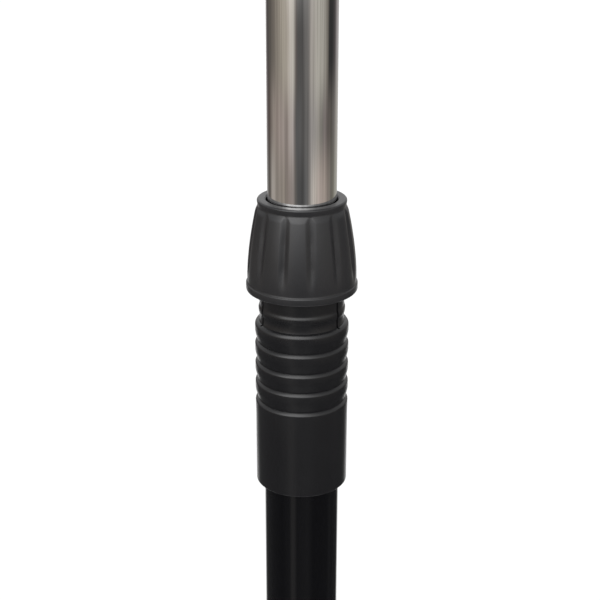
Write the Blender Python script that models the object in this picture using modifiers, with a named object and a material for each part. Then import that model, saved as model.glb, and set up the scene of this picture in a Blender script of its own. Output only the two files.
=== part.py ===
"""Folding music stand: tripod base, telescopic column with a twist-lock clutch, tilting slotted desk.

Frame: metres, +Z up, the column axis is Z and the floor is z = 0. The music side of the desk faces +Y.
"""
import math

import bmesh
import bpy
from mathutils import Matrix, Vector

MM = 0.001
CLEAR = 0.30 * MM            # gap between neighbouring pieces
RUN = 0.42 * MM              # gap between pieces that slide or turn on each other
ON_TUBE = 0.35 * MM          # gap between the lower tube and a ring round it
ON_CHROME = 0.6 * MM         # gap between the inner tube and the clutch pieces
ROUND = 40                   # facets around the column pieces
SMALL = 12                   # facets around pins and holes
OVER = 5 * MM                # how far a cutter runs past the wall it cuts
BITE = 1.5 * MM              # how far a lug or boss roots into the ring it stands on

# Column
CLUTCH_Z = 560 * MM          # height of the clutch's datum: the gap between its sleeve and its knob
TUBE_R = 12.5 * MM
TUBE_WALL = 1.1 * MM
TUBE_BORE = TUBE_R - TUBE_WALL
TUBE_FOOT = 10 * MM
TUBE_TOP_DROP = 14 * MM      # the lower tube ends this far below the clutch datum
TUBE_TOP = CLUTCH_Z - TUBE_TOP_DROP
TUBE_EDGE = 0.3 * MM
INNER_R = TUBE_BORE - 0.4 * MM
INNER_WALL = 1.0 * MM
INNER_BORE = INNER_R - INNER_WALL
INNER_TOP = 860 * MM
INNER_OVERLAP = 246 * MM     # length of the inner tube that stays inside the lower one
INNER_BOTTOM = TUBE_TOP - INNER_OVERLAP
BUSH_FLANGE = 6 * MM
BUSH_SPIGOT = 22 * MM
BUSH_R = (INNER_R + TUBE_BORE) / 2 - 0.15 * MM
PLUG_EDGE = 0.8 * MM         # broken edges of the plugs and the insert

# Rubber foot under the column
FOOT_R = TUBE_R + 2 * MM
FOOT_SPIGOT = 20 * MM
FOOT_EDGE = 1.2 * MM

# Clutch sleeve, heights from the clutch datum
SLEEVE_BORE = TUBE_R + ON_TUBE
SLEEVE_R = SLEEVE_BORE + 2.4 * MM
SLEEVE_BOTTOM = -64.3 * MM
SLEEVE_SHOULDER = -8.0 * MM
SLEEVE_EDGE = 0.6 * MM
NECK_BORE = INNER_R + ON_CHROME
NECK_R = NECK_BORE + 2.2 * MM
NECK_TOP = 15.0 * MM
NECK_BAND = 0.25 * MM        # how far the raised band stands off the neck
NECK_BAND_Z = -2.0 * MM
NECK_BAND_HALF = 1.2 * MM
NECK_BAND_RAMP = 0.4 * MM
BORE_TAPER = 2 * MM          # the sleeve's bore narrows to the neck's over this height
GROOVES = 4
GROOVE_FIRST = -13.45 * MM   # height of the first groove's bottom line
GROOVE_PITCH = 6.82 * MM
GROOVE_DEPTH = 0.8 * MM
GROOVE_FALL = 3.6 * MM       # a ring falls away over this height to the groove below it
GROOVE_LIP = 1.1 * MM        # and the next ring's lip rises from it over this one
SLITS = 3
SLIT_WIDTH = 1.2 * MM
SLIT_DEPTH = 8 * MM
SLIT_RISE = 1.5 * MM         # the slits start this far above the shoulder
SLIT_FIRST = -35.0           # azimuth in degrees of the first slit, from +X

# Clutch knob, heights from the clutch datum
KNOB_BOTTOM = 4.4 * MM
KNOB_TOP = 34.6 * MM
KNOB_THREAD_R = NECK_R + 0.5 * MM
KNOB_HOLE_R = INNER_R + ON_CHROME
KNOB_CAVITY_R = KNOB_HOLE_R + 1.4 * MM
KNOB_R = KNOB_THREAD_R + 3.7 * MM
KNOB_SHOULDER_Z = 32.0 * MM
KNOB_SHOULDER_R = KNOB_HOLE_R + 2.7 * MM
KNOB_MID_Z = 20.5 * MM
KNOB_MID_R = KNOB_R - 1.32 * MM
KNOB_FLANGE = 2.6 * MM
KNOB_EDGE = 0.5 * MM
KNOB_STEP = 0.55 * MM        # the barrel starts this far inside the flange
KNOB_STEP_RISE = 1.5 * MM
KNOB_WALL_TOP = 4.0 * MM
FLUTES = 12
FLUTE_R = 1.8 * MM
FLUTE_FIRST = -80.0          # azimuth in degrees of the first flute's middle, from +X
FLUTE_FLOOR_TOP = KNOB_SHOULDER_R + 0.05 * MM
FLUTE_FLOOR_LOW = KNOB_R - 0.8 * MM
FLUTE_RISE = 1.6 * MM        # the flutes start this far above the flange
FLUTE_PAST = 0.2 * MM        # and run this far past the shoulder
RING_BOTTOM = 17.0 * MM
RING_TOP = 29.0 * MM
RING_BORE = INNER_R + 0.5 * MM
RING_R = KNOB_THREAD_R - 0.6 * MM
RING_TOP_R = KNOB_HOLE_R + 0.7 * MM
RING_BAND = 1.5 * MM
RING_GAP = 1.8 * MM

# Tripod: equal pivot distances make the collar run straight up the tube
LEG_COUNT = 3
LEG_FIRST = -90.0            # azimuth in degrees of the first leg
PIVOT_R = TUBE_R + 11.5 * MM
HUB_PIVOT_Z = 24 * MM
ARM = 130 * MM               # brace length, and the distance down the leg to its brace pivot
SPREAD = math.radians(55)    # leg angle from vertical when open
LEG_WIDTH = 16 * MM
LEG_DEPTH = 14 * MM
LEG_WALL = 1.5 * MM
LEG_WEB = 7.5 * MM           # from the pivot line out to the outer face of the web
LEG_HEAD = 5 * MM            # the channel runs this far above its upper pivot
LEG_EDGE = 1.2 * MM
LEG_TAIL = 2 * MM            # the channel runs this far past the foot ball's reach
FOOT_BALL_R = 11 * MM
FOOT_TONGUE = 14 * MM
FOOT_ROOT = 4 * MM
FOOT_SINK = 0.72             # share of the ball's radius below the channel's end
FOOT_CENTRE_Z = 9 * MM
BRACE_THICK = 5 * MM
BRACE_WIDTH = 10 * MM
CLEVIS_PLATE = 3 * MM
CLEVIS_R = 5.5 * MM
LUG_WIDTH = LEG_WIDTH - 2 * LEG_WALL - 3 * MM
PIN_R = 2.0 * MM
PIN_HEAD_R = 3.6 * MM
PIN_HEAD = 1.2 * MM
PIN_EDGE = 0.8 * MM
HUB_WALL = 3.6 * MM
HUB_R = TUBE_R + ON_TUBE + HUB_WALL
HUB_EDGE = 1 * MM
HUB_LOW = 12 * MM
HUB_HIGH = 36 * MM
COLLAR_BELOW = 10 * MM
COLLAR_ABOVE = 14 * MM
BOSS_R = 6.5 * MM
BOSS_OUT = TUBE_R + 10.5 * MM
LOCK_SCREW_R = 2.5 * MM
LOCK_SCREW_GAP = 0.4 * MM    # from the screw's tip to the tube
LOCK_KNOB_R = 10 * MM
LOCK_KNOB_LENGTH = 14 * MM
LOCK_KNOB_EDGE = 2 * MM
LOCK_KNOB_NECK = 5 * MM
LOCK_GRIPS = 6
LOCK_GRIP_R = 3 * MM
LOCK_GRIP_OUT = 1.6 * MM
LOCK_GRIP_LOW = 3.5 * MM

# Head on top of the column
CAP_R = INNER_R + 2 * MM
CAP_THICK = 6 * MM
CAP_EDGE = 0.6 * MM
SPIGOT = 30 * MM
POST_R = 6 * MM
POST = 18 * MM
HEAD_R = CAP_R - 1 * MM
HEAD_HEIGHT = 24 * MM
HEAD_EDGE = 1.5 * MM
HEAD_ROOT = 2 * MM
TONGUE = 12 * MM
TONGUE_R = 11 * MM
TILT_RISE = 15 * MM          # the tilt pivot stands this far above the head's round body
WASHER = 1.5 * MM
WASHER_R = 8.5 * MM
EAR = 3 * MM
EAR_R = 11 * MM
BOLT_R = 3.0 * MM
BOLT_HEAD_R = 6.5 * MM
BOLT_HEAD = 4 * MM
BOLT_THREAD = 10 * MM
WASHER_EDGE = 0.2 * MM
TILT_KNOB_R = 17 * MM
TILT_KNOB_HUB = 7 * MM
TILT_KNOB_LENGTH = 16 * MM
TILT_KNOB_EDGE = 3 * MM
TILT_KNOB_RIM = 9 * MM
TILT_KNOB_BACK = 11 * MM
TILT_SCALLOPS = 5
TILT_SCALLOP_R = 7 * MM
TILT_SCALLOP_OUT = 3.2 * MM
TILT_SCALLOP_FIRST = 18.0

# Desk, in its own axes: x across, u up the panel, v out towards the music
LEAN = math.radians(20)
DESK_WIDTH = 500 * MM
DESK_LOW = 95 * MM           # below the tilt pivot, along the panel
DESK_HIGH = 235 * MM
DESK_OFFSET = 30 * MM        # from the tilt pivot to the front face of the bracket
DESK_SHEET = 1.5 * MM
DESK_CORNER = 22 * MM
SLOT_LENGTH = 62 * MM
SLOT_WIDTH = 13 * MM
SLOT_COLUMNS = 5
SLOT_ROWS = 6
SLOT_SIDE = 40 * MM          # margin of solid sheet beside the slots
SLOT_LOW = 50 * MM           # margin of solid sheet below the lowest slot
SLOT_HIGH = 38 * MM
LEDGE_DEPTH = 58 * MM
LEDGE_LIP = 16 * MM
LEDGE_FLANGE = 22 * MM
LEDGE_RIVET_IN = 28 * MM     # from the panel's side to the nearest ledge rivet
BRACKET_WIDTH = 64 * MM
BRACKET_HEIGHT = 90 * MM
BRACKET_SHEET = 2.5 * MM
BRACKET_EDGE = 1.0 * MM
BRACKET_RIVET_IN = (9 * MM, 10 * MM)
BRACKET_FREE = 3 * MM        # solid sheet kept between the bracket and the nearest slot
RIVET_R = 2.4 * MM
RIVET_HEAD_R = 4.6 * MM
RIVET_HEAD = 1.8 * MM
LEDGE_RIVETS = 4


def start():
    """Empty the scene and make the two collections."""
    for item in list(bpy.data.objects):
        bpy.data.objects.remove(item, do_unlink=True)
    scene = bpy.context.scene
    parts = bpy.data.collections.new("music_stand")
    cutters = bpy.data.collections.new("cutters")
    scene.collection.children.link(parts)
    scene.collection.children.link(cutters)
    return parts, cutters


PARTS, CUTTERS = start()


def material(name, colour, roughness, metallic=0.0):
    made = bpy.data.materials.new(name)
    made.use_nodes = True
    shader = made.node_tree.nodes["Principled BSDF"]
    shader.inputs["Base Color"].default_value = (*colour, 1.0)
    shader.inputs["Roughness"].default_value = roughness
    shader.inputs["Metallic"].default_value = metallic
    return made


CHROME = material("chrome", (0.80, 0.79, 0.77), 0.06, 1.0)
STEEL = material("zinc_steel", (0.55, 0.55, 0.54), 0.30, 1.0)
LACQUER = material("black_lacquer", (0.012, 0.012, 0.013), 0.22)
KNOB_PLASTIC = material("knob_plastic", (0.035, 0.035, 0.036), 0.45)
SLEEVE_PLASTIC = material("sleeve_plastic", (0.020, 0.020, 0.021), 0.30)
NYLON = material("nylon", (0.60, 0.59, 0.55), 0.5)
RUBBER = material("rubber", (0.018, 0.018, 0.018), 0.75)
POWDER = material("powder_coat", (0.016, 0.016, 0.017), 0.48)


def place(item, collection, paint=None, at=(0, 0, 0), turn=(0, 0, 0), parent=None):
    collection.objects.link(item)
    item.location = at
    item.rotation_euler = turn
    if parent is not None:
        item.parent = parent
    if paint is not None:
        item.data.materials.clear()
        item.data.materials.append(paint)
    if collection is CUTTERS:
        item.hide_render = True
        item.display_type = "WIRE"
    return item


def from_bmesh(name, bm):
    bmesh.ops.recalc_face_normals(bm, faces=bm.faces)
    mesh = bpy.data.meshes.new(name)
    bm.to_mesh(mesh)
    bm.free()
    return bpy.data.objects.new(name, mesh)


def pivot(name, at, turn=(0, 0, 0), parent=None):
    """An empty on a joint axis."""
    empty = bpy.data.objects.new(name, None)
    empty.empty_display_size = 0.02
    return place(empty, PARTS, at=at, turn=turn, parent=parent)


def add_box(bm, low, high):
    """A box between two corners."""
    low, high = Vector(low), Vector(high)
    size = high - low
    shape = Matrix.Translation((low + high) / 2) @ Matrix.Diagonal((*size, 1.0))
    bmesh.ops.create_cube(bm, size=1.0, matrix=shape)


def add_cylinder(bm, radius, start_at, end_at, sides=SMALL, end_radius=None):
    """A closed cylinder or cone from one point to another."""
    start_at, end_at = Vector(start_at), Vector(end_at)
    along = end_at - start_at
    turn = along.to_track_quat("Z", "Y").to_matrix().to_4x4()
    bmesh.ops.create_cone(
        bm, cap_ends=True, segments=sides, radius1=radius,
        radius2=radius if end_radius is None else end_radius,
        depth=along.length, matrix=Matrix.Translation((start_at + end_at) / 2) @ turn)


def add_tab(bm, root, centre, radius, across, matrix):
    """A flat tab in the XZ plane: square at x = root, round about x = centre, across is its y range."""
    outline = [(root, -radius)] + arc((centre, 0), radius, -90, 90, 8) + [(root, radius)]
    face = bm.faces.new([bm.verts.new(matrix @ Vector((x, across[0], z))) for x, z in outline])
    grown = bmesh.ops.extrude_face_region(bm, geom=[face])["geom"]
    shift = matrix.to_3x3() @ Vector((0, across[1] - across[0], 0))
    bmesh.ops.translate(bm, vec=shift, verts=[item for item in grown if isinstance(item, bmesh.types.BMVert)])


def cutter(name, build, at=(0, 0, 0), turn=(0, 0, 0), parent=None):
    bm = bmesh.new()
    build(bm)
    return place(from_bmesh(name, bm), CUTTERS, at=at, turn=turn, parent=parent)


def cut(item, tool, operation="DIFFERENCE"):
    step = item.modifiers.new(operation.lower(), "BOOLEAN")
    step.operation = operation
    step.solver = "EXACT"
    step.object = tool


def solid(name, build, paint, at=(0, 0, 0), turn=(0, 0, 0), parent=None):
    bm = bmesh.new()
    build(bm)
    return place(from_bmesh(name, bm), PARTS, paint, at, turn, parent)


def round_edges(item, width, segments=2, angle=40):
    step = item.modifiers.new("bevel", "BEVEL")
    step.width = width
    step.segments = segments
    step.limit_method = "ANGLE"
    step.angle_limit = math.radians(angle)


def turned(name, outline, paint, collection=None, closed=False, steps=ROUND, at=(0, 0, 0),
           turn=(0, 0, 0), parent=None):
    """A profile of (radius, height) points spun about Z. A closed outline makes a ring."""
    bm = bmesh.new()
    points = [bm.verts.new((r, 0.0, z)) for r, z in outline]
    for first, second in zip(points, points[1:]):
        bm.edges.new((first, second))
    if closed:
        bm.edges.new((points[-1], points[0]))
    mesh = bpy.data.meshes.new(name)
    bm.to_mesh(mesh)
    bm.free()
    item = bpy.data.objects.new(name, mesh)
    spin = item.modifiers.new("screw", "SCREW")
    spin.steps = spin.render_steps = steps
    spin.use_merge_vertices = True
    spin.merge_threshold = 0.00001
    return place(item, PARTS if collection is None else collection, paint, at, turn, parent)


def arc(centre, radius, start_deg, end_deg, count):
    """Points of an arc in the profile plane, ends included."""
    points = []
    for index in range(count + 1):
        angle = math.radians(start_deg + (end_deg - start_deg) * index / count)
        points.append((centre[0] + radius * math.cos(angle), centre[1] + radius * math.sin(angle)))
    return points


def tube_outline(outer, inner, low, high, edge=TUBE_EDGE):
    """A plain tube with its outer edges broken."""
    return [(inner, high), (outer - edge, high), (outer, high - edge), (outer, low + edge),
            (outer - edge, low), (inner, low)]


def outline_curve(name, loops, half_thickness):
    """A flat plate from closed loops of points: the first is the outside, the rest are holes."""
    curve = bpy.data.curves.new(name, "CURVE")
    curve.dimensions = "2D"
    curve.fill_mode = "BOTH"
    curve.extrude = half_thickness
    for loop in loops:
        spline = curve.splines.new("POLY")
        spline.points.add(len(loop) - 1)
        for point, (x, y) in zip(spline.points, loop):
            point.co = (x, y, 0.0, 1.0)
        spline.use_cyclic_u = True
    return curve


def plate(name, loops, thickness, paint, at, turn, parent=None):
    return place(bpy.data.objects.new(name, outline_curve(name, loops, thickness / 2)),
                 PARTS, paint, at, turn, parent)


def azimuths(count, first):
    return [math.radians(first + 360.0 * index / count) for index in range(count)]


def polar(radius, azimuth, height):
    return Vector((radius * math.cos(azimuth), radius * math.sin(azimuth), height))


# ---------------------------------------------------------------------------------------------
# Column
def column_foot():
    spigot_r = TUBE_BORE - RUN
    flange_top = TUBE_FOOT - CLEAR
    turned("column_foot_plug", [
        (0, flange_top + FOOT_SPIGOT), (spigot_r - PLUG_EDGE, flange_top + FOOT_SPIGOT),
        (spigot_r, flange_top + FOOT_SPIGOT - PLUG_EDGE), (spigot_r, flange_top),
        (FOOT_R - PLUG_EDGE, flange_top), (FOOT_R, flange_top - PLUG_EDGE),
        (FOOT_R, FOOT_EDGE), (FOOT_R - FOOT_EDGE, 0), (0, 0)], RUBBER)


def lower_tube():
    turned("lower_tube", tube_outline(TUBE_R, TUBE_BORE, TUBE_FOOT, TUBE_TOP), LACQUER, closed=True)


def inner_column():
    """Chrome tube with a nylon bush in its lower end and the head's insert in its upper end."""
    turned("inner_tube", tube_outline(INNER_R, INNER_BORE, INNER_BOTTOM, INNER_TOP), CHROME, closed=True)
    spigot_r = INNER_BORE - RUN
    flange_top = INNER_BOTTOM - CLEAR
    turned("guide_bush", [
        (0, flange_top + BUSH_SPIGOT), (spigot_r - PLUG_EDGE, flange_top + BUSH_SPIGOT),
        (spigot_r, flange_top + BUSH_SPIGOT - PLUG_EDGE), (spigot_r, flange_top),
        (BUSH_R, flange_top), (BUSH_R, flange_top - BUSH_FLANGE + PLUG_EDGE),
        (BUSH_R - PLUG_EDGE, flange_top - BUSH_FLANGE), (0, flange_top - BUSH_FLANGE)], NYLON)
    cap_low = INNER_TOP + CLEAR
    cap_top = cap_low + CAP_THICK
    turned("top_insert", [
        (0, cap_top + POST), (POST_R - PLUG_EDGE, cap_top + POST), (POST_R, cap_top + POST - PLUG_EDGE),
        (POST_R, cap_top), (CAP_R - CAP_EDGE, cap_top), (CAP_R, cap_top - CAP_EDGE),
        (CAP_R, cap_low + CAP_EDGE), (CAP_R - CAP_EDGE, cap_low), (spigot_r, cap_low),
        (spigot_r, INNER_TOP - SPIGOT), (0, INNER_TOP - SPIGOT)], KNOB_PLASTIC)
    return cap_top


# ---------------------------------------------------------------------------------------------
# Clutch
def clutch_sleeve():
    low = CLUTCH_Z + SLEEVE_BOTTOM
    shoulder = CLUTCH_Z + SLEEVE_SHOULDER
    neck_top = CLUTCH_Z + NECK_TOP
    band = CLUTCH_Z + NECK_BAND_Z
    ramp = NECK_BAND_HALF + NECK_BAND_RAMP
    outline = [(NECK_BORE, neck_top), (NECK_R - PLUG_EDGE, neck_top), (NECK_R, neck_top - PLUG_EDGE),
               (NECK_R, band + ramp), (NECK_R + NECK_BAND, band + NECK_BAND_HALF),
               (NECK_R + NECK_BAND, band - NECK_BAND_HALF), (NECK_R, band - ramp)]
    fillet = SLEEVE_R - NECK_R
    outline += arc((NECK_R, shoulder), fillet, 80, 0, 3)
    for index in range(GROOVES):
        notch = CLUTCH_Z + GROOVE_FIRST - index * GROOVE_PITCH
        outline += [(SLEEVE_R, notch + GROOVE_FALL), (SLEEVE_R - GROOVE_DEPTH, notch),
                    (SLEEVE_R, notch - GROOVE_LIP)]
    outline += [(SLEEVE_R, low + SLEEVE_EDGE), (SLEEVE_R - SLEEVE_EDGE, low), (SLEEVE_BORE, low),
                (SLEEVE_BORE, TUBE_TOP + CLEAR), (NECK_BORE, TUBE_TOP + CLEAR + BORE_TAPER)]
    sleeve = turned("clutch_sleeve", outline, SLEEVE_PLASTIC, closed=True)

    def slits(bm):
        for azimuth in azimuths(SLITS, SLIT_FIRST):
            turn = Matrix.Rotation(azimuth, 4, "Z")
            height = NECK_TOP - SLEEVE_SHOULDER - SLIT_RISE + OVER
            middle = turn @ Matrix.Translation((NECK_R, 0, shoulder + SLIT_RISE + height / 2))
            size = Matrix.Diagonal((SLIT_DEPTH, SLIT_WIDTH, height, 1.0))
            bmesh.ops.create_cube(bm, size=1.0, matrix=middle @ size)

    cut(sleeve, cutter("neck_slit_cutter", slits))


def clutch_knob():
    origin = pivot("clutch_knob_axis", (0, 0, CLUTCH_Z + KNOB_BOTTOM))
    height = KNOB_TOP - KNOB_BOTTOM
    shoulder = KNOB_SHOULDER_Z - KNOB_BOTTOM
    middle = KNOB_MID_Z - KNOB_BOTTOM
    inner_top = height - KNOB_WALL_TOP
    ring_low = RING_BOTTOM - KNOB_BOTTOM
    outline = [(KNOB_HOLE_R + TUBE_EDGE, height), (KNOB_SHOULDER_R - KNOB_EDGE, height),
               (KNOB_SHOULDER_R, height - KNOB_EDGE), (KNOB_SHOULDER_R, shoulder)]
    for share in (0.2, 0.45, 0.7, 1.0):
        z = shoulder + (middle - shoulder) * share
        r = KNOB_SHOULDER_R + (KNOB_MID_R - KNOB_SHOULDER_R) * math.sin(share * 0.5 * math.pi) ** 0.8
        outline.append((r, z))
    outline += [(KNOB_R - KNOB_STEP, KNOB_FLANGE + KNOB_STEP_RISE), (KNOB_R, KNOB_FLANGE),
                (KNOB_R, KNOB_EDGE), (KNOB_R - KNOB_EDGE, 0), (KNOB_THREAD_R, 0),
                (KNOB_THREAD_R, ring_low), (KNOB_THREAD_R, ring_low + RING_BAND + KNOB_EDGE),
                (KNOB_CAVITY_R, inner_top), (KNOB_HOLE_R, inner_top), (KNOB_HOLE_R, height - TUBE_EDGE)]
    knob = turned("clutch_knob", outline, KNOB_PLASTIC, closed=True, parent=origin)

    def flutes(bm):
        for azimuth in azimuths(FLUTES, FLUTE_FIRST):
            top = polar(FLUTE_FLOOR_TOP + FLUTE_R, azimuth, shoulder + FLUTE_PAST)
            low = polar(FLUTE_FLOOR_LOW + FLUTE_R, azimuth, KNOB_FLANGE + FLUTE_RISE)
            add_cylinder(bm, FLUTE_R, low, top, sides=16)

    cut(knob, cutter("flute_cutter", flutes, parent=origin))


def clamp_ring():
    """Split taper ring between the knob and the chrome tube."""
    low, high = CLUTCH_Z + RING_BOTTOM, CLUTCH_Z + RING_TOP
    ring = turned("clamp_ring", [
        (RING_BORE, high), (RING_TOP_R, high), (RING_R, low + RING_BAND), (RING_R, low),
        (RING_BORE, low)], NYLON, closed=True)

    def gap(bm):
        add_box(bm, (INNER_R - OVER, -RING_GAP / 2, low - OVER), (RING_R + OVER, RING_GAP / 2, high + OVER))

    cut(ring, cutter("ring_gap_cutter", gap))


# ---------------------------------------------------------------------------------------------
# Tripod
COLLAR_PIVOT_Z = HUB_PIVOT_Z + 2 * ARM * math.cos(SPREAD)
LEG_REACH = 2 * ARM + (HUB_PIVOT_Z - FOOT_CENTRE_Z) / math.cos(SPREAD)
HOLE_R = PIN_R + RUN
FLANGE_IN = LEG_DEPTH - LEG_WEB          # the channel's flanges end this far inside the pivot line


def base_hub():
    """Ring fixed to the tube, with a pair of clevis plates for each brace."""
    hub = turned("base_hub", tube_outline(HUB_R, SLEEVE_BORE, HUB_LOW, HUB_HIGH, HUB_EDGE), POWDER,
                 closed=True)

    def clevises(bm):
        gap = BRACE_THICK / 2 + CLEAR
        for azimuth in azimuths(LEG_COUNT, LEG_FIRST):
            for side in (-1, 1):
                near, far = sorted((side * gap, side * (gap + CLEVIS_PLATE)))
                add_tab(bm, SLEEVE_BORE + BITE, PIVOT_R, CLEVIS_R, (near, far),
                        Matrix.Rotation(azimuth, 4, "Z") @ Matrix.Translation((0, 0, HUB_PIVOT_Z)))

    cut(hub, cutter("hub_clevis_plates", clevises), "UNION")
    cut(hub, cross_holes("hub_pin_holes", HUB_PIVOT_Z, LEG_WIDTH))


def cross_holes(name, height, width):
    """Pin holes across each leg's plane, at the pivot radius."""
    def holes(bm):
        for azimuth in azimuths(LEG_COUNT, LEG_FIRST):
            turn = Matrix.Rotation(azimuth, 4, "Z")
            add_cylinder(bm, HOLE_R, turn @ Vector((PIVOT_R, -width, height)),
                         turn @ Vector((PIVOT_R, width, height)))
    return cutter(name, holes)


def leg_collar():
    low, high = COLLAR_PIVOT_Z - COLLAR_BELOW, COLLAR_PIVOT_Z + COLLAR_ABOVE
    collar = turned("leg_collar", tube_outline(HUB_R, SLEEVE_BORE, low, high, HUB_EDGE), POWDER,
                    closed=True)
    root = SLEEVE_BORE + BITE

    def lugs(bm):
        for azimuth in azimuths(LEG_COUNT, LEG_FIRST):
            add_tab(bm, root, PIVOT_R, CLEVIS_R, (-LUG_WIDTH / 2, LUG_WIDTH / 2),
                    Matrix.Rotation(azimuth, 4, "Z") @ Matrix.Translation((0, 0, COLLAR_PIVOT_Z)))

    screw_z = COLLAR_PIVOT_Z + (COLLAR_ABOVE - COLLAR_BELOW) / 2
    cut(collar, cutter("collar_lugs", lugs), "UNION")
    cut(collar, cutter("collar_boss", lambda bm: add_cylinder(
        bm, BOSS_R, (0, root, screw_z), (0, BOSS_OUT, screw_z), sides=24)), "UNION")
    cut(collar, cross_holes("collar_pin_holes", COLLAR_PIVOT_Z, LEG_WIDTH))
    cut(collar, cutter("collar_screw_hole", lambda bm: add_cylinder(
        bm, LOCK_SCREW_R + RUN, (0, TUBE_R - BITE, screw_z), (0, BOSS_OUT + OVER, screw_z))))
    lock_knob(screw_z)


def lock_knob(screw_z):
    """Screw and wing-cut knob that clamps the collar to the tube."""
    origin = pivot("collar_lock_axis", (0, BOSS_OUT + CLEAR, screw_z), (-math.pi / 2, 0, 0))
    tip = TUBE_R + LOCK_SCREW_GAP - BOSS_OUT - CLEAR
    knob = turned("collar_lock_knob", [
        (0, LOCK_KNOB_LENGTH), (LOCK_KNOB_R - LOCK_KNOB_EDGE, LOCK_KNOB_LENGTH),
        (LOCK_KNOB_R, LOCK_KNOB_LENGTH - LOCK_KNOB_EDGE), (LOCK_KNOB_R, LOCK_KNOB_NECK),
        (BOSS_R, LOCK_KNOB_EDGE), (BOSS_R, 0),
        (LOCK_SCREW_R, 0), (LOCK_SCREW_R, tip), (0, tip)], KNOB_PLASTIC, steps=32, parent=origin)

    def grips(bm):
        out = LOCK_KNOB_R + LOCK_GRIP_OUT
        for azimuth in azimuths(LOCK_GRIPS, 0.0):
            add_cylinder(bm, LOCK_GRIP_R, polar(out, azimuth, LOCK_GRIP_LOW),
                         polar(out, azimuth, LOCK_KNOB_LENGTH + OVER), sides=16)

    cut(knob, cutter("lock_grip_cutter", grips, parent=origin))


def rivet(name, half_width, at, turn, paint=STEEL):
    """A rivet across a fork: its heads stand a clearance off the two outer faces."""
    shoulder = half_width + CLEAR
    end = shoulder + PIN_HEAD
    turned(name, [(0, end), (PIN_HEAD_R - PIN_EDGE, end), (PIN_HEAD_R, end - PIN_EDGE),
                  (PIN_HEAD_R, shoulder), (PIN_R, shoulder), (PIN_R, -shoulder),
                  (PIN_HEAD_R, -shoulder), (PIN_HEAD_R, -end + PIN_EDGE),
                  (PIN_HEAD_R - PIN_EDGE, -end), (0, -end)],
           paint, steps=SMALL, at=at, turn=turn)


def leg(number, azimuth):
    """Pressed channel, open on the inner side, with a rubber foot on its lower end."""
    at = polar(PIVOT_R, azimuth, COLLAR_PIVOT_Z)
    origin = pivot(f"leg_{number}_pivot", at, (0, -SPREAD, azimuth))
    half = LEG_WIDTH / 2
    inner_half = half - LEG_WALL
    end = LEG_REACH + LEG_TAIL

    def channel(bm):
        add_box(bm, (-FLANGE_IN, -half, -end), (LEG_WEB, half, LEG_HEAD))

    def hollow(bm):
        add_box(bm, (-FLANGE_IN - OVER, -inner_half, -end - OVER),
                (LEG_WEB - LEG_WALL, inner_half, LEG_HEAD + OVER))

    def holes(bm):
        for down in (0.0, ARM):
            add_cylinder(bm, HOLE_R, (0, -LEG_WIDTH, -down), (0, LEG_WIDTH, -down))

    piece = solid(f"leg_{number}", channel, POWDER, parent=origin)
    round_edges(piece, LEG_EDGE, 1)
    cut(piece, cutter(f"leg_{number}_hollow", hollow, parent=origin))
    cut(piece, cutter(f"leg_{number}_holes", holes, parent=origin))
    leg_foot(number, origin, end, inner_half)

    cross = (math.pi / 2, 0, azimuth)
    rivet(f"collar_pin_{number}", half, at, cross)
    elbow = polar(PIVOT_R + ARM * math.sin(SPREAD), azimuth, COLLAR_PIVOT_Z - ARM * math.cos(SPREAD))
    rivet(f"brace_pin_{number}", half, elbow, cross)
    hub_half = BRACE_THICK / 2 + CLEAR + CLEVIS_PLATE
    rivet(f"hub_pin_{number}", hub_half, polar(PIVOT_R, azimuth, HUB_PIVOT_Z), cross)


def leg_foot(number, origin, end, inner_half):
    """Rubber ball foot with a flat tread, its tongue pushed into the end of the channel."""
    tongue_half = inner_half - CLEAR
    centre = Vector((0, 0, -end - CLEAR - FOOT_SINK * FOOT_BALL_R))
    cube = FOOT_BALL_R * 4
    ground = 2 * LEG_REACH

    def ball(bm):
        bmesh.ops.create_uvsphere(bm, u_segments=24, v_segments=12, radius=FOOT_BALL_R,
                                  matrix=Matrix.Translation(centre))

    foot = solid(f"leg_foot_{number}", ball, RUBBER, parent=origin)
    cut(foot, cutter(f"leg_foot_{number}_face", lambda bm: add_box(
        bm, (-cube, -cube, -end - CLEAR), (cube, cube, cube)), parent=origin))
    cut(foot, cutter(f"leg_foot_{number}_tongue", lambda bm: add_box(
        bm, (-FLANGE_IN + LEG_WALL, -tongue_half, -end - FOOT_ROOT),
        (LEG_WEB - LEG_WALL - CLEAR, tongue_half, -end + FOOT_TONGUE)), parent=origin), "UNION")
    cut(foot, cutter(f"leg_foot_{number}_tread", lambda bm: add_box(
        bm, (-ground, -ground, -cube), (ground, ground, 0))))


def brace(number, azimuth):
    origin = pivot(f"brace_{number}_pivot", polar(PIVOT_R, azimuth, HUB_PIVOT_Z), (0, SPREAD, azimuth))
    half = BRACE_WIDTH / 2
    loops = [arc((0, 0), half, 180, 360, 10) + arc((0, ARM), half, 0, 180, 10)]
    for height in (0, ARM):
        loops.append(arc((0, height), HOLE_R, 0, 360 - 360 / SMALL, SMALL - 1))
    plate(f"brace_{number}", loops, BRACE_THICK, POWDER, (0, 0, 0), (math.pi / 2, 0, 0), parent=origin)


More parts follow.
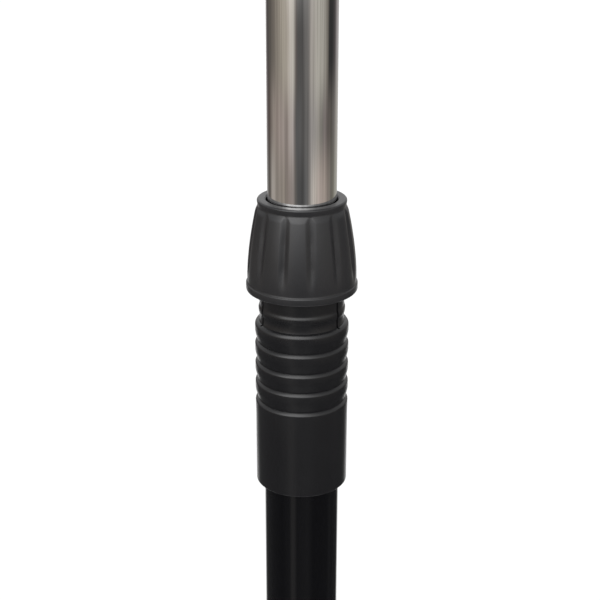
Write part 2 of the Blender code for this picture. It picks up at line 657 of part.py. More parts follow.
# ---------------------------------------------------------------------------------------------
# Head and desk
def tilt_head(cap_top):
    """Swivelling block on the insert's post, with a tongue for the tilt bolt. Returns the pivot height."""
    low = cap_top + CLEAR
    top = low + HEAD_HEIGHT
    pivot_z = top + TILT_RISE
    socket = cap_top + POST + CLEAR
    bore = POST_R + RUN
    head = turned("tilt_head", [
        (0, top), (HEAD_R - HEAD_EDGE, top), (HEAD_R, top - HEAD_EDGE), (HEAD_R, low + PLUG_EDGE),
        (HEAD_R - PLUG_EDGE, low), (bore, low), (bore, socket), (0, socket)], KNOB_PLASTIC)

    upright = Matrix.Translation((0, 0, pivot_z)) @ Matrix.Rotation(-math.pi / 2, 4, "Y")
    on_end = upright @ Matrix.Rotation(math.pi / 2, 4, "X")
    cut(head, cutter("head_tongue", lambda bm: add_tab(
        bm, top - HEAD_ROOT - pivot_z, 0, TONGUE_R, (-TONGUE / 2, TONGUE / 2), on_end)), "UNION")
    cut(head, cutter("tongue_hole", lambda bm: add_cylinder(
        bm, BOLT_R + RUN, (-TONGUE, 0, pivot_z), (TONGUE, 0, pivot_z))))
    return pivot_z


EAR_IN = TONGUE / 2 + WASHER + 2 * CLEAR
EAR_OUT = EAR_IN + EAR


def desk(pivot_z):
    """The panel with its ledge and bracket, all on one tilting frame."""
    frame = pivot("desk_tilt_axis", (0, 0, pivot_z), (LEAN, 0, 0))
    desk_panel(frame)
    desk_ledge(frame)
    desk_bracket(frame)
    tilt_bolt(frame)
    for side, name in ((-1, "friction_washer_1"), (1, "friction_washer_2")):
        inner = side * (TONGUE / 2 + CLEAR)
        turned(name, tube_outline(WASHER_R, BOLT_R + RUN, 0, WASHER, WASHER_EDGE), NYLON,
               closed=True,
               steps=32, at=(inner, 0, 0), turn=(0, side * math.pi / 2, 0), parent=frame)
    tilt_knob(frame)


def slots():
    """Oblong holes of the panel, in rows and columns, left out behind the bracket."""
    loops = []
    span = DESK_WIDTH - 2 * SLOT_SIDE
    pitch_x = (span - SLOT_LENGTH) / (SLOT_COLUMNS - 1)
    low = -DESK_LOW + SLOT_LOW
    pitch_u = (DESK_LOW + DESK_HIGH - SLOT_LOW - SLOT_HIGH) / (SLOT_ROWS - 1)
    for row in range(SLOT_ROWS):
        for column in range(SLOT_COLUMNS):
            x = -span / 2 + SLOT_LENGTH / 2 + column * pitch_x
            u = low + row * pitch_u
            near_bracket = (abs(x) < BRACKET_WIDTH / 2 + SLOT_LENGTH / 2 + BRACKET_FREE
                            and abs(u) < BRACKET_HEIGHT / 2 + SLOT_WIDTH / 2 + BRACKET_FREE)
            if not near_bracket:
                half = SLOT_WIDTH / 2
                reach = SLOT_LENGTH / 2 - half
                loops.append(arc((x + reach, u), half, -90, 90, 4) + arc((x - reach, u), half, 90, 270, 4))
    return loops


def screw_places():
    across, up = BRACKET_WIDTH / 2 - BRACKET_RIVET_IN[0], BRACKET_HEIGHT / 2 - BRACKET_RIVET_IN[1]
    return [(-across, -up), (across, -up), (-across, up), (across, up)]


def ledge_places():
    reach = DESK_WIDTH / 2 - LEDGE_RIVET_IN
    height = -DESK_LOW + LEDGE_FLANGE / 2
    return [(-reach + 2 * reach * index / (LEDGE_RIVETS - 1), height) for index in range(LEDGE_RIVETS)]


def round_hole(x, u, radius):
    return arc((x, u), radius, 0, 360 - 360 / SMALL, SMALL - 1)


PANEL_BACK = DESK_OFFSET + CLEAR
PANEL_FRONT = PANEL_BACK + DESK_SHEET


def desk_panel(frame):
    half, low, high, corner = DESK_WIDTH / 2, -DESK_LOW, DESK_HIGH, DESK_CORNER
    outside = [(-half, low), (half, low)]
    outside += arc((half - corner, high - corner), corner, 0, 90, 8)
    outside += arc((-half + corner, high - corner), corner, 90, 180, 8)
    loops = [outside] + slots()
    for x, u in screw_places() + ledge_places():
        loops.append(round_hole(x, u, RIVET_R + RUN))
    plate("desk_panel", loops, DESK_SHEET, POWDER, (0, PANEL_BACK + DESK_SHEET / 2, 0),
          (math.pi / 2, 0, 0), parent=frame)


def desk_ledge(frame):
    """Angle section: a flange behind the panel, the shelf, and a turned-up lip."""
    back = PANEL_BACK - CLEAR - DESK_SHEET
    floor_top = -DESK_LOW - CLEAR
    floor_low = floor_top - DESK_SHEET
    front = back + LEDGE_DEPTH
    bend = DESK_SHEET
    outer_back = arc((back + bend, floor_low + bend), bend, 180, 270, 3)
    outer_front = arc((front - bend, floor_low + bend), bend, 270, 360, 3)
    section = [(back, floor_low + LEDGE_FLANGE)] + outer_back + outer_front + [
        (front, floor_low + LEDGE_LIP), (front - DESK_SHEET, floor_low + LEDGE_LIP),
        (front - DESK_SHEET, floor_top), (back + DESK_SHEET, floor_top),
        (back + DESK_SHEET, floor_low + LEDGE_FLANGE)]
    ledge = plate("desk_ledge_blank", [section], DESK_WIDTH, POWDER, (0, 0, 0),
                  (math.pi / 2, 0, math.pi / 2), parent=frame)
    ledge = to_mesh(ledge, "desk_ledge", frame)

    def holes(bm):
        for x, u in ledge_places():
            add_cylinder(bm, RIVET_R + RUN, (x, back - OVER, u), (x, back + DESK_SHEET + OVER, u))

    cut(ledge, cutter("ledge_holes", holes, parent=frame))
    for index, (x, u) in enumerate(ledge_places(), 1):
        sheet_rivet(f"ledge_rivet_{index}", back, x, u, frame)


def to_mesh(item, name, frame):
    """A curve made into a mesh object with welded caps, so that it can be cut."""
    bpy.context.view_layer.update()
    mesh = bpy.data.meshes.new_from_object(item.evaluated_get(bpy.context.evaluated_depsgraph_get()))
    bm = bmesh.new()
    bm.from_mesh(mesh)
    bmesh.ops.remove_doubles(bm, verts=bm.verts, dist=0.01 * MM)
    bmesh.ops.recalc_face_normals(bm, faces=bm.faces)
    bm.to_mesh(mesh)
    bm.free()
    made = bpy.data.objects.new(name, mesh)
    PARTS.objects.link(made)
    made.parent = frame
    made.matrix_basis = item.matrix_basis.copy()
    bpy.data.objects.remove(item, do_unlink=True)
    return made


def sheet_rivet(name, back, x, u, frame):
    """Dome rivet through a sheet that starts at back and the panel in front of it."""
    tail = back - CLEAR
    head = PANEL_FRONT + CLEAR
    turned(name, [
        (0, head + RIVET_HEAD), (RIVET_HEAD_R * 0.6, head + RIVET_HEAD * 0.8), (RIVET_HEAD_R, head),
        (RIVET_R, head), (RIVET_R, tail), (RIVET_HEAD_R * 0.85, tail),
        (RIVET_HEAD_R * 0.5, tail - RIVET_HEAD * 0.7), (0, tail - RIVET_HEAD * 0.7)],
        STEEL, steps=SMALL, at=(x, 0, u), turn=(-math.pi / 2, 0, 0), parent=frame)


def desk_bracket(frame):
    """Pressed bracket: a plate on the panel's back and two ears that straddle the head's tongue."""
    front, back = DESK_OFFSET, DESK_OFFSET - BRACKET_SHEET
    half_x, half_u = BRACKET_WIDTH / 2, BRACKET_HEIGHT / 2

    def base(bm):
        add_box(bm, (-half_x, back, -half_u), (half_x, front, half_u))

    def ears(bm):
        for side in (-1, 1):
            near, far = sorted((side * EAR_IN, side * EAR_OUT))
            add_tab(bm, -back - BRACKET_EDGE, 0, EAR_R, (near, far), Matrix.Rotation(-math.pi / 2, 4, "Z"))

    bracket = solid("desk_bracket", base, POWDER, parent=frame)
    round_edges(bracket, BRACKET_EDGE, 1)
    cut(bracket, cutter("bracket_ears", ears, parent=frame), "UNION")
    cut(bracket, cutter("bracket_bolt_hole", lambda bm: add_cylinder(
        bm, BOLT_R + RUN, (-EAR_OUT - OVER, 0, 0), (EAR_OUT + OVER, 0, 0)), parent=frame))

    def holes(bm):
        for x, u in screw_places():
            add_cylinder(bm, RIVET_R + RUN, (x, back - OVER, u), (x, front + OVER, u))

    cut(bracket, cutter("bracket_holes", holes, parent=frame))
    for index, (x, u) in enumerate(screw_places(), 1):
        sheet_rivet(f"bracket_rivet_{index}", back, x, u, frame)


def tilt_bolt(frame):
    """Hexagon-headed bolt along the tilt axis, its thread in the knob on the +X side."""
    head_in = EAR_OUT + CLEAR
    thread_end = EAR_OUT + CLEAR + BOLT_THREAD

    def bolt(bm):
        add_cylinder(bm, BOLT_R, (-head_in - 0.5 * BOLT_HEAD, 0, 0), (thread_end, 0, 0))

    piece = solid("tilt_bolt", bolt, STEEL, parent=frame)
    cut(piece, cutter("bolt_head", lambda bm: add_cylinder(
        bm, BOLT_HEAD_R, (-head_in - BOLT_HEAD, 0, 0), (-head_in, 0, 0), sides=6), parent=frame), "UNION")


def tilt_knob(frame):
    """Lobed hand knob on the bolt's end."""
    origin = pivot("tilt_knob_axis", (EAR_OUT + CLEAR, 0, 0), (0, math.pi / 2, 0), parent=frame)
    depth = BOLT_THREAD + 2 * CLEAR
    bore = BOLT_R + RUN
    knob = turned("tilt_knob", [
        (0, TILT_KNOB_LENGTH), (TILT_KNOB_R - TILT_KNOB_EDGE, TILT_KNOB_LENGTH),
        (TILT_KNOB_R, TILT_KNOB_LENGTH - HEAD_ROOT), (TILT_KNOB_R, TILT_KNOB_LENGTH - TILT_KNOB_RIM),
        (TILT_KNOB_HUB + HUB_EDGE, TILT_KNOB_LENGTH - TILT_KNOB_BACK), (TILT_KNOB_HUB, 0), (bore, 0),
        (bore, depth), (0, depth)], KNOB_PLASTIC, steps=ROUND, parent=origin)

    def scallops(bm):
        out = TILT_KNOB_R + TILT_SCALLOP_OUT
        for azimuth in azimuths(TILT_SCALLOPS, TILT_SCALLOP_FIRST):
            add_cylinder(bm, TILT_SCALLOP_R, polar(out, azimuth, KNOB_EDGE),
                         polar(out, azimuth, TILT_KNOB_LENGTH + OVER), sides=20)

    cut(knob, cutter("tilt_scallops", scallops, parent=origin))


def build():
    column_foot()
    lower_tube()
    cap_top = inner_column()
    clutch_sleeve()
    clutch_knob()
    clamp_ring()
    base_hub()
    leg_collar()
    for number, azimuth in enumerate(azimuths(LEG_COUNT, LEG_FIRST), 1):
        leg(number, azimuth)
        brace(number, azimuth)
    desk(tilt_head(cap_top))


build()
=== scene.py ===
import math

import bmesh
import bpy
from mathutils import Euler, Matrix, Vector


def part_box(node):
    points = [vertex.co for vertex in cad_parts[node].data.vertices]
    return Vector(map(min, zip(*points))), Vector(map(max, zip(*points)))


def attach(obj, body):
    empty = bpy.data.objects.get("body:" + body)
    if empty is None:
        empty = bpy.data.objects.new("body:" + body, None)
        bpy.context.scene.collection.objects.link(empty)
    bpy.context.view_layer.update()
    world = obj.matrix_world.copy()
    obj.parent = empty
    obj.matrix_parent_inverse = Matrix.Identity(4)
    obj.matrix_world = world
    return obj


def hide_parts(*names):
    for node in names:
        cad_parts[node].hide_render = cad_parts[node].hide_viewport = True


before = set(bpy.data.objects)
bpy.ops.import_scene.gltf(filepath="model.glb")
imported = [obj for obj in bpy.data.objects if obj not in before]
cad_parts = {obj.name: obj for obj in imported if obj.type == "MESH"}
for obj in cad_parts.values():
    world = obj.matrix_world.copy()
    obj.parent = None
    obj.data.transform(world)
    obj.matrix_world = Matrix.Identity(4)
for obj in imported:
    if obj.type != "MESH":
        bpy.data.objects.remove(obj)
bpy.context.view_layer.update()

MM = 0.001
CLUTCH_Z = 560 * MM          # height of the clutch's datum above the floor
CLEAR = 0.30 * MM            # gap between neighbouring pieces
RUN = 0.42 * MM              # gap between a pin and its hole
ON_TUBE = 0.35 * MM          # gap between the lower tube and a ring round it
WELD = 0.002 * MM
TAB_EDGE = 0.5 * MM
ROUNDED_FROM = 34.0          # degrees: the bend at which soften() rounds an edge
SHARP_FROM = 32.0            # and at which an edge is shaded sharp

# ---------------------------------------------------------------------------------------------
# Camera: close in and a little above the clutch, looking down at it
CAMERA_DISTANCE = 395.1 * MM
CAMERA_RISE = 151.0 * MM
CAMERA_SIDE = -0.6 * MM
CAMERA_PITCH = math.radians(20.92)
CAMERA_ROLL = math.radians(0.065)
CAMERA_LENS = 78.06


def add_camera():
    data = bpy.data.cameras.new("camera")
    data.lens = CAMERA_LENS
    data.sensor_width = 36.0
    data.clip_start = 0.01
    camera = bpy.data.objects.new("camera", data)
    bpy.context.scene.collection.objects.link(camera)
    camera.location = (CAMERA_SIDE, -CAMERA_DISTANCE, CLUTCH_Z + CAMERA_RISE)
    tilt = Matrix.Rotation(math.pi / 2 - CAMERA_PITCH, 4, "X") @ Matrix.Rotation(CAMERA_ROLL, 4, "Z")
    camera.rotation_euler = tilt.to_euler()
    bpy.context.scene.camera = camera


# ---------------------------------------------------------------------------------------------
# Shader nodes
def add_node(tree, kind, inputs=(), **settings):
    """A shader node, with a value or a link for each input that is given."""
    node = tree.nodes.new(f"ShaderNode{kind}")
    for name, value in settings.items():
        setattr(node, name, value)
    for name, value in dict(inputs).items():
        if isinstance(value, bpy.types.NodeSocket):
            tree.links.new(value, node.inputs[name])
        else:
            node.inputs[name].default_value = value
    return node


def mix(tree, factor, first, second):
    inputs = {"Factor": factor, "A": first, "B": second}
    return add_node(tree, "Mix", inputs, data_type="RGBA").outputs["Result"]


def map_range(tree, value, source, target=(0.0, 1.0), easing="LINEAR"):
    inputs = {"Value": value, "From Min": source[0], "From Max": source[1], "To Min": target[0],
              "To Max": target[1]}
    return add_node(tree, "MapRange", inputs, interpolation_type=easing).outputs["Result"]


def noise(tree, place, scale, detail):
    return add_node(tree, "TexNoise", {"Vector": place, "Scale": scale, "Detail": detail}).outputs["Fac"]


# ---------------------------------------------------------------------------------------------
# Studio: white all round for the eye and for soft light, and rows of cards that only reflections see.
# A card is an azimuth in degrees, from the camera's side towards +X, and a radiance.
def grey(value):
    return (value, value, value)


ROOM_WHITE = (1.12, 1.12, 1.12, 1.0)
FLOOR_WHITE = (0.95, 0.95, 0.95, 1.0)
FLOOR_SIZE = 24.0
FLOOR_DROP = 0.2 * MM        # the floor lies this far below the feet
DEEP_CARD = (0.90, 0.90, 0.90, 1.0)     # below the lowest row
LOW_CARDS = [
    (-180, grey(1.30)), (-156, grey(1.10)), (-146, grey(0.10)), (-60, grey(0.05)), (-36, grey(0.12)),
    (-30, (0.33, 0.32, 0.31)), (-22, (0.31, 0.30, 0.29)), (-14, grey(0.10)), (20, grey(0.14)),
    (36, grey(0.05)), (90, grey(0.05)), (96, grey(0.10)), (104, grey(0.05)), (146, grey(0.06)),
    (156, grey(1.10)), (180, grey(1.30))]
THIRD_CARDS = [
    (-180, grey(0.42)), (-158, (0.36, 0.35, 0.34)), (-146, (0.17, 0.16, 0.15)),
    (-130, (0.09, 0.08, 0.07)), (-112, (0.46, 0.42, 0.38)), (-95, (0.28, 0.25, 0.22)),
    (-60, (0.29, 0.255, 0.22)), (-48, (0.23, 0.195, 0.175)), (-34, (0.31, 0.27, 0.25)),
    (-29, (0.30, 0.265, 0.245)), (-22, (0.14, 0.13, 0.12)), (-14, grey(0.08)), (0, grey(0.07)),
    (14, grey(0.12)), (22, (0.20, 0.19, 0.18)), (30, (0.44, 0.41, 0.38)), (42, (0.55, 0.50, 0.45)),
    (56, (0.48, 0.41, 0.37)), (78, (0.40, 0.34, 0.30)), (92, (0.29, 0.25, 0.22)),
    (110, (0.16, 0.15, 0.13)), (122, (0.18, 0.17, 0.14)), (135, (0.33, 0.32, 0.28)),
    (155, (0.45, 0.44, 0.40)), (180, grey(0.42))]
SECOND_CARDS = [
    (-180, grey(0.42)), (-158, (0.38, 0.35, 0.34)), (-146, (0.12, 0.10, 0.10)),
    (-130, (0.10, 0.08, 0.07)), (-108, (0.30, 0.26, 0.23)), (-90, (0.31, 0.26, 0.23)),
    (-70, (0.39, 0.33, 0.30)), (-58, (0.32, 0.275, 0.25)), (-50, (0.25, 0.21, 0.19)),
    (-38, (0.45, 0.40, 0.37)), (-30, (0.47, 0.42, 0.40)), (-24, (0.20, 0.18, 0.17)), (-18, grey(0.10)),
    (0, (0.105, 0.102, 0.10)), (18, (0.145, 0.14, 0.135)), (26, (0.30, 0.28, 0.27)),
    (40, (0.36, 0.34, 0.32)), (56, (0.31, 0.29, 0.26)), (66, (0.20, 0.19, 0.17)),
    (76, (0.24, 0.21, 0.20)), (88, (0.15, 0.13, 0.12)), (105, (0.10, 0.09, 0.08)),
    (122, (0.15, 0.14, 0.13)), (135, (0.30, 0.28, 0.26)), (155, (0.47, 0.45, 0.42)), (180, grey(0.42))]
FIRST_CARDS = [
    (-180, (0.38, 0.36, 0.35)), (-158, (0.34, 0.32, 0.31)), (-146, (0.08, 0.07, 0.07)),
    (-130, (0.10, 0.09, 0.08)), (-105, (0.17, 0.15, 0.13)), (-80, (0.32, 0.285, 0.24)),
    (-60, (0.42, 0.38, 0.32)), (-48, (0.45, 0.405, 0.35)), (-38, (0.56, 0.52, 0.47)),
    (-28, (0.54, 0.51, 0.46)), (-20, (0.16, 0.14, 0.13)), (-14, (0.09, 0.088, 0.086)),
    (0, (0.097, 0.094, 0.092)), (18, (0.18, 0.172, 0.165)), (27, (0.40, 0.37, 0.34)),
    (56, (0.46, 0.44, 0.39)), (74, (0.38, 0.36, 0.32)), (86, (0.24, 0.22, 0.19)), (95, grey(0.03)),
    (112, grey(0.04)), (127, (0.10, 0.09, 0.09)), (138, (0.30, 0.28, 0.28)), (160, (0.48, 0.46, 0.46)),
    (180, grey(0.42))]
HIGH_CARDS = [
    (-180, grey(1.00)), (-140, grey(0.70)), (-100, grey(0.60)), (-66, grey(1.10)), (-46, grey(3.40)),
    (-24, grey(3.60)), (0, grey(2.90)), (20, grey(2.10)), (45, grey(0.90)), (90, grey(0.55)),
    (140, grey(0.60)), (180, grey(1.00))]
CARD_ROWS = [                # a row of cards, and the rise of the ray over which it takes over
    (LOW_CARDS, -0.93, -0.86), (THIRD_CARDS, -0.345, -0.285), (SECOND_CARDS, -0.272, -0.213),
    (FIRST_CARDS, -0.213, -0.156), (HIGH_CARDS, -0.13, 0.28)]


def card_ramp(tree, cards, azimuth):
    """The colour of a row of cards at an azimuth, which runs from 0 to 1 round the room."""
    ramp = add_node(tree, "ValToRGB", {"Fac": azimuth})
    elements = ramp.color_ramp.elements
    while len(elements) < len(cards):
        elements.new(0.5)
    for element, (angle, _) in zip(elements, cards):
        element.position = (angle + 180.0) / 360.0
    for element, (_, colour) in zip(elements, cards):
        element.color = (*colour, 1.0)
    return ramp.outputs["Color"]


def add_world():
    world = bpy.data.worlds.new("studio")
    bpy.context.scene.world = world
    world.use_nodes = True
    tree = world.node_tree
    tree.nodes.clear()

    def math_node(operation, first, second):
        return add_node(tree, "Math", {0: first, 1: second}, operation=operation).outputs[0]

    split = add_node(tree, "SeparateXYZ", {0: add_node(tree, "TexCoord").outputs["Generated"]})
    angle = math_node("ARCTAN2", split.outputs["X"], math_node("MULTIPLY", split.outputs["Y"], -1.0))
    azimuth = math_node("ADD", math_node("DIVIDE", angle, 2 * math.pi), 0.5)
    reflected = DEEP_CARD
    for cards, start_at, end_at in CARD_ROWS:
        share = map_range(tree, split.outputs["Z"], (start_at, end_at), easing="SMOOTHSTEP")
        reflected = mix(tree, share, reflected, card_ramp(tree, cards, azimuth))
    shown = mix(tree, add_node(tree, "LightPath").outputs["Is Glossy Ray"], ROOM_WHITE, reflected)
    background = add_node(tree, "Background", {"Color": shown})
    add_node(tree, "OutputWorld", {"Surface": background.outputs[0]})
    bpy.context.scene.view_settings.view_transform = "Standard"


def add_floor():
    bpy.ops.mesh.primitive_plane_add(size=FLOOR_SIZE, location=(0, 0, -FLOOR_DROP))
    floor = bpy.context.object
    floor.name = "studio_floor"
    paint = bpy.data.materials.new("studio_floor")
    paint.use_nodes = True
    shader = paint.node_tree.nodes["Principled BSDF"]
    shader.inputs["Base Color"].default_value = FLOOR_WHITE
    shader.inputs["Roughness"].default_value = 1.0
    shader.inputs["Specular IOR Level"].default_value = 0.0
    floor.data.materials.append(paint)
    floor.visible_glossy = False


# ---------------------------------------------------------------------------------------------
# Materials
CLOUD_SCALE = 55.0           # the slow change of tone and gloss over a surface
CLOUD_DETAIL = 6.0
CLOUD_RANGE = (0.3, 0.7)
GRAIN_DETAIL = 3.0
GRAIN_HEIGHT = 0.05 * MM
STREAK_SCALE = 1500.0
STREAK_STRETCH = 0.012
STREAK_DETAIL = 4.0
STREAK_RANGE = (0.35, 0.70)
STREAK_LIFT = 0.35           # how much a streak lightens, for each part that it darkens


def surface(name, colour, roughness, metallic=0.0, grain=0.0, grain_scale=2000.0, vary=0.0,
            wear=0.0, streaks=0.0):
    """A Principled surface with a moulded or sprayed grain, uneven gloss and drawn streaks along Z."""
    made = bpy.data.materials.new(name)
    made.use_nodes = True
    tree = made.node_tree
    shader = tree.nodes["Principled BSDF"]
    shader.inputs["Metallic"].default_value = metallic
    place = add_node(tree, "TexCoord").outputs["Object"]
    clouds = noise(tree, place, CLOUD_SCALE, CLOUD_DETAIL)
    worn, fresh = [(*[value * tone for value in colour], 1.0) for tone in (1.0 - wear, 1.0 + wear)]
    tinted = mix(tree, clouds, worn, fresh)
    if streaks:
        tinted = streaked(tree, place, tinted, streaks)
    tree.links.new(tinted, shader.inputs["Base Color"])
    gloss = map_range(tree, clouds, CLOUD_RANGE, (roughness * (1.0 - vary), roughness * (1.0 + vary)))
    tree.links.new(gloss, shader.inputs["Roughness"])
    if grain:
        fine = noise(tree, place, grain_scale, GRAIN_DETAIL)
        bump = add_node(tree, "Bump", {"Strength": grain, "Distance": GRAIN_HEIGHT, "Height": fine})
        tree.links.new(bump.outputs["Normal"], shader.inputs["Normal"])
    return made


def streaked(tree, place, colour, strength):
    """Darken a colour in fine lines along Z, as on a drawn and polished tube."""
    stretched = add_node(tree, "Mapping", {"Vector": place, "Scale": (1.0, 1.0, STREAK_STRETCH)})
    lines = noise(tree, stretched.outputs["Vector"], STREAK_SCALE, STREAK_DETAIL)
    depth = map_range(tree, lines, STREAK_RANGE, (1.0 + STREAK_LIFT * strength, 1.0 - strength))
    return add_node(tree, "VectorMath", {0: colour, "Scale": depth}, operation="SCALE").outputs[0]


CHROME = surface("polished_chrome", (0.86, 0.855, 0.85), 0.018, 1.0, vary=0.3, wear=0.01, streaks=0.22)
KNOB = surface("knob_plastic", (0.0185, 0.0183, 0.0200), 0.33, grain=0.25, grain_scale=2600.0, vary=0.10,
               wear=0.08)
SLEEVE = surface("sleeve_plastic", (0.0100, 0.0099, 0.0112), 0.30, grain=0.05, grain_scale=2200.0,
                 vary=0.10, wear=0.06)
LACQUER = surface("black_lacquer", (0.0033, 0.0033, 0.0042), 0.10, grain=0.05, grain_scale=900.0,
                  vary=0.15, wear=0.05)
POWDER = surface("powder_coat", (0.012, 0.012, 0.0125), 0.40, grain=0.55, grain_scale=1500.0, vary=0.15,
                 wear=0.10)
RUBBER = surface("black_rubber", (0.013, 0.013, 0.0128), 0.68, grain=0.35, grain_scale=1800.0, vary=0.12,
                 wear=0.18)
NYLON = surface("white_nylon", (0.62, 0.61, 0.56), 0.45, grain=0.10, grain_scale=1200.0, vary=0.10,
                wear=0.04)
ZINC = surface("zinc_steel", (0.58, 0.58, 0.56), 0.28, 1.0, grain=0.15, grain_scale=3000.0, vary=0.35,
               wear=0.12)


# ---------------------------------------------------------------------------------------------
# Mesh helpers
def arc(centre, radius, start_deg, end_deg, count):
    """Points of an arc in the profile plane, ends included."""
    points = []
    for index in range(count + 1):
        angle = math.radians(start_deg + (end_deg - start_deg) * index / count)
        points.append((centre[0] + radius * math.cos(angle), centre[1] + radius * math.sin(angle)))
    return points


def smooth(low, high, value):
    """0 below low, 1 above high and a smooth step between them."""
    share = min(1.0, max(0.0, (value - low) / (high - low)))
    return share * share * (3 - 2 * share)


def blank(name, bm):
    """An object in the scene from a bmesh."""
    bmesh.ops.remove_doubles(bm, verts=bm.verts, dist=1e-7)
    bmesh.ops.recalc_face_normals(bm, faces=bm.faces)
    mesh = bpy.data.meshes.new(name)
    bm.to_mesh(mesh)
    bm.free()
    item = bpy.data.objects.new(name, mesh)
    bpy.context.scene.collection.objects.link(item)
    return item


def bake(item):
    """Replace an object's mesh with what its modifiers make of it."""
    depsgraph = bpy.context.evaluated_depsgraph_get()
    made = bpy.data.meshes.new_from_object(item.evaluated_get(depsgraph))
    item.modifiers.clear()
    old = item.data
    item.data = made
    bpy.data.meshes.remove(old)


def boolean(item, bm, operation="DIFFERENCE"):
    """Cut a bmesh from an object, or join it to the object."""
    tool = blank("tool", bm)
    step = item.modifiers.new("boolean", "BOOLEAN")
    step.operation = operation
    step.solver = "EXACT"
    step.object = tool
    bake(item)
    bpy.data.objects.remove(tool, do_unlink=True)


def soften(item, width):
    """Round an object's edges."""
    step = item.modifiers.new("bevel", "BEVEL")
    step.width = width
    step.segments = 3
    step.limit_method = "ANGLE"
    step.angle_limit = math.radians(ROUNDED_FROM)
    step.use_clamp_overlap = True
    bake(item)


def piece(name, bm, paint, body, nodes, matrix=None, joins=(), cuts=(), edge=0.0,
          sharp=SHARP_FROM):
    """A mesh piece that rides on a CAD body and stands for CAD nodes."""
    item = blank(name, bm)
    for tool in joins:
        boolean(item, tool, "UNION")
    for tool in cuts:
        boolean(item, tool)
    if edge:
        soften(item, edge)
    mesh = item.data
    mesh.materials.clear()
    mesh.materials.append(paint)
    mesh.shade_smooth()
    mesh.set_sharp_from_angle(angle=math.radians(sharp))
    if matrix is not None:
        mesh.transform(matrix)
    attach(item, body)
    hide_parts(*nodes)


def turned(outline, segments=96, shape=None):
    """A closed profile of (radius, height) points spun about Z. shape moves a radius by angle."""
    bm = bmesh.new()
    rings = []
    for radius, height in outline:
        if radius == 0.0:
            rings.append([bm.verts.new((0.0, 0.0, height))])
            continue
        ring = []
        for index in range(segments):
            angle = 2 * math.pi * index / segments
            r = radius if shape is None else shape(radius, angle, height)
            ring.append(bm.verts.new((r * math.cos(angle), r * math.sin(angle), height)))
        rings.append(ring)
    for first, second in zip(rings, rings[1:] + rings[:1]):
        if len(first) == len(second) == 1:
            continue
        for index in range(segments):
            after = (index + 1) % segments
            corners = [first[index % len(first)], first[after % len(first)],
                       second[after % len(second)], second[index % len(second)]]
            bm.faces.new(list(dict.fromkeys(corners)))
    return bm


def ring_outline(outer, inner, low, high, edge):
    """Profile of a ring with rounded outer edges."""
    return [(inner, high)] + arc((outer - edge, high - edge), edge, 90, 0, 5) + arc(
        (outer - edge, low + edge), edge, 0, -90, 5) + [(inner, low)]


def box(low, high, matrix=None):
    low, high = Vector(low), Vector(high)
    shape = Matrix.Translation((low + high) / 2) @ Matrix.Diagonal((*(high - low), 1.0))
    bm = bmesh.new()
    bmesh.ops.create_cube(bm, size=1.0, matrix=shape if matrix is None else matrix @ shape)
    return bm


def add_cylinder(bm, radius, start_at, end_at, sides=48):
    start_at, end_at = Vector(start_at), Vector(end_at)
    along = end_at - start_at
    turn = along.to_track_quat("Z", "Y").to_matrix().to_4x4()
    bmesh.ops.create_cone(bm, cap_ends=True, segments=sides, radius1=radius, radius2=radius,
                          depth=along.length, matrix=Matrix.Translation((start_at + end_at) / 2) @ turn)


def cylinder(radius, start_at, end_at, sides=48):
    bm = bmesh.new()
    add_cylinder(bm, radius, start_at, end_at, sides)
    return bm


def round_loop(x, y, radius, count=32):
    return arc((x, y), radius, 0, 360 - 360 / count, count - 1)


def plate(loops, thickness, edge, matrix):
    """A plate about the local XY plane with rounded rims. The first loop is its outside."""
    curve = bpy.data.curves.new("plate", "CURVE")
    curve.dimensions = "2D"
    curve.fill_mode = "BOTH"
    curve.extrude = thickness / 2 - edge
    curve.bevel_depth = edge
    curve.bevel_resolution = 2
    curve.offset = -edge
    for loop in loops:
        spline = curve.splines.new("POLY")
        spline.points.add(len(loop) - 1)
        for point, (x, y) in zip(spline.points, loop):
            point.co = (x, y, 0.0, 1.0)
        spline.use_cyclic_u = True
    holder = bpy.data.objects.new("plate", curve)
    bpy.context.scene.collection.objects.link(holder)
    bpy.context.view_layer.update()
    mesh = bpy.data.meshes.new_from_object(holder.evaluated_get(bpy.context.evaluated_depsgraph_get()))
    bpy.data.objects.remove(holder, do_unlink=True)
    bm = bmesh.new()
    bm.from_mesh(mesh)
    bpy.data.meshes.remove(mesh)
    bmesh.ops.remove_doubles(bm, verts=bm.verts, dist=WELD)
    bm.transform(matrix)
    return bm


def tab(root, centre, radius, across, matrix):
    """A tab in the local XZ plane: square at x = root, round about x = centre; across is its y range."""
    outline = [(root, -radius)] + arc((centre, 0), radius, -90, 90, 24) + [(root, radius)]
    middle = (across[0] + across[1]) / 2
    stand = matrix @ Matrix.Translation((0, middle, 0)) @ Matrix.Rotation(math.pi / 2, 4, "X")
    return plate([outline], across[1] - across[0], TAB_EDGE, stand)


def span(node):
    """The lowest and the highest z of a CAD node."""
    low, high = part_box(node)
    return low[2], high[2]


def azimuths(count, first):
    return [math.radians(first + 360.0 * index / count) for index in range(count)]


def polar(radius, azimuth, height):
    return Vector((radius * math.cos(azimuth), radius * math.sin(azimuth), height))


def turn_z(azimuth):
    return Matrix.Rotation(azimuth, 4, "Z")


def pose(at, turn=(0.0, 0.0, 0.0)):
    return Matrix.Translation(at) @ Euler(turn).to_matrix().to_4x4()


# ---------------------------------------------------------------------------------------------
# Column tubes
TUBE_R = 12.5 * MM
TUBE_BORE = 11.4 * MM
INNER_R = 11.0 * MM
INNER_BORE = 10.0 * MM
TUBE_EDGE = 0.3 * MM


def tube(name, node, outer, inner, paint, body):
    low, high = span(node)
    outline = ring_outline(outer, inner, low, high, TUBE_EDGE)
    piece(name, turned(outline, 160), paint, body, [node])


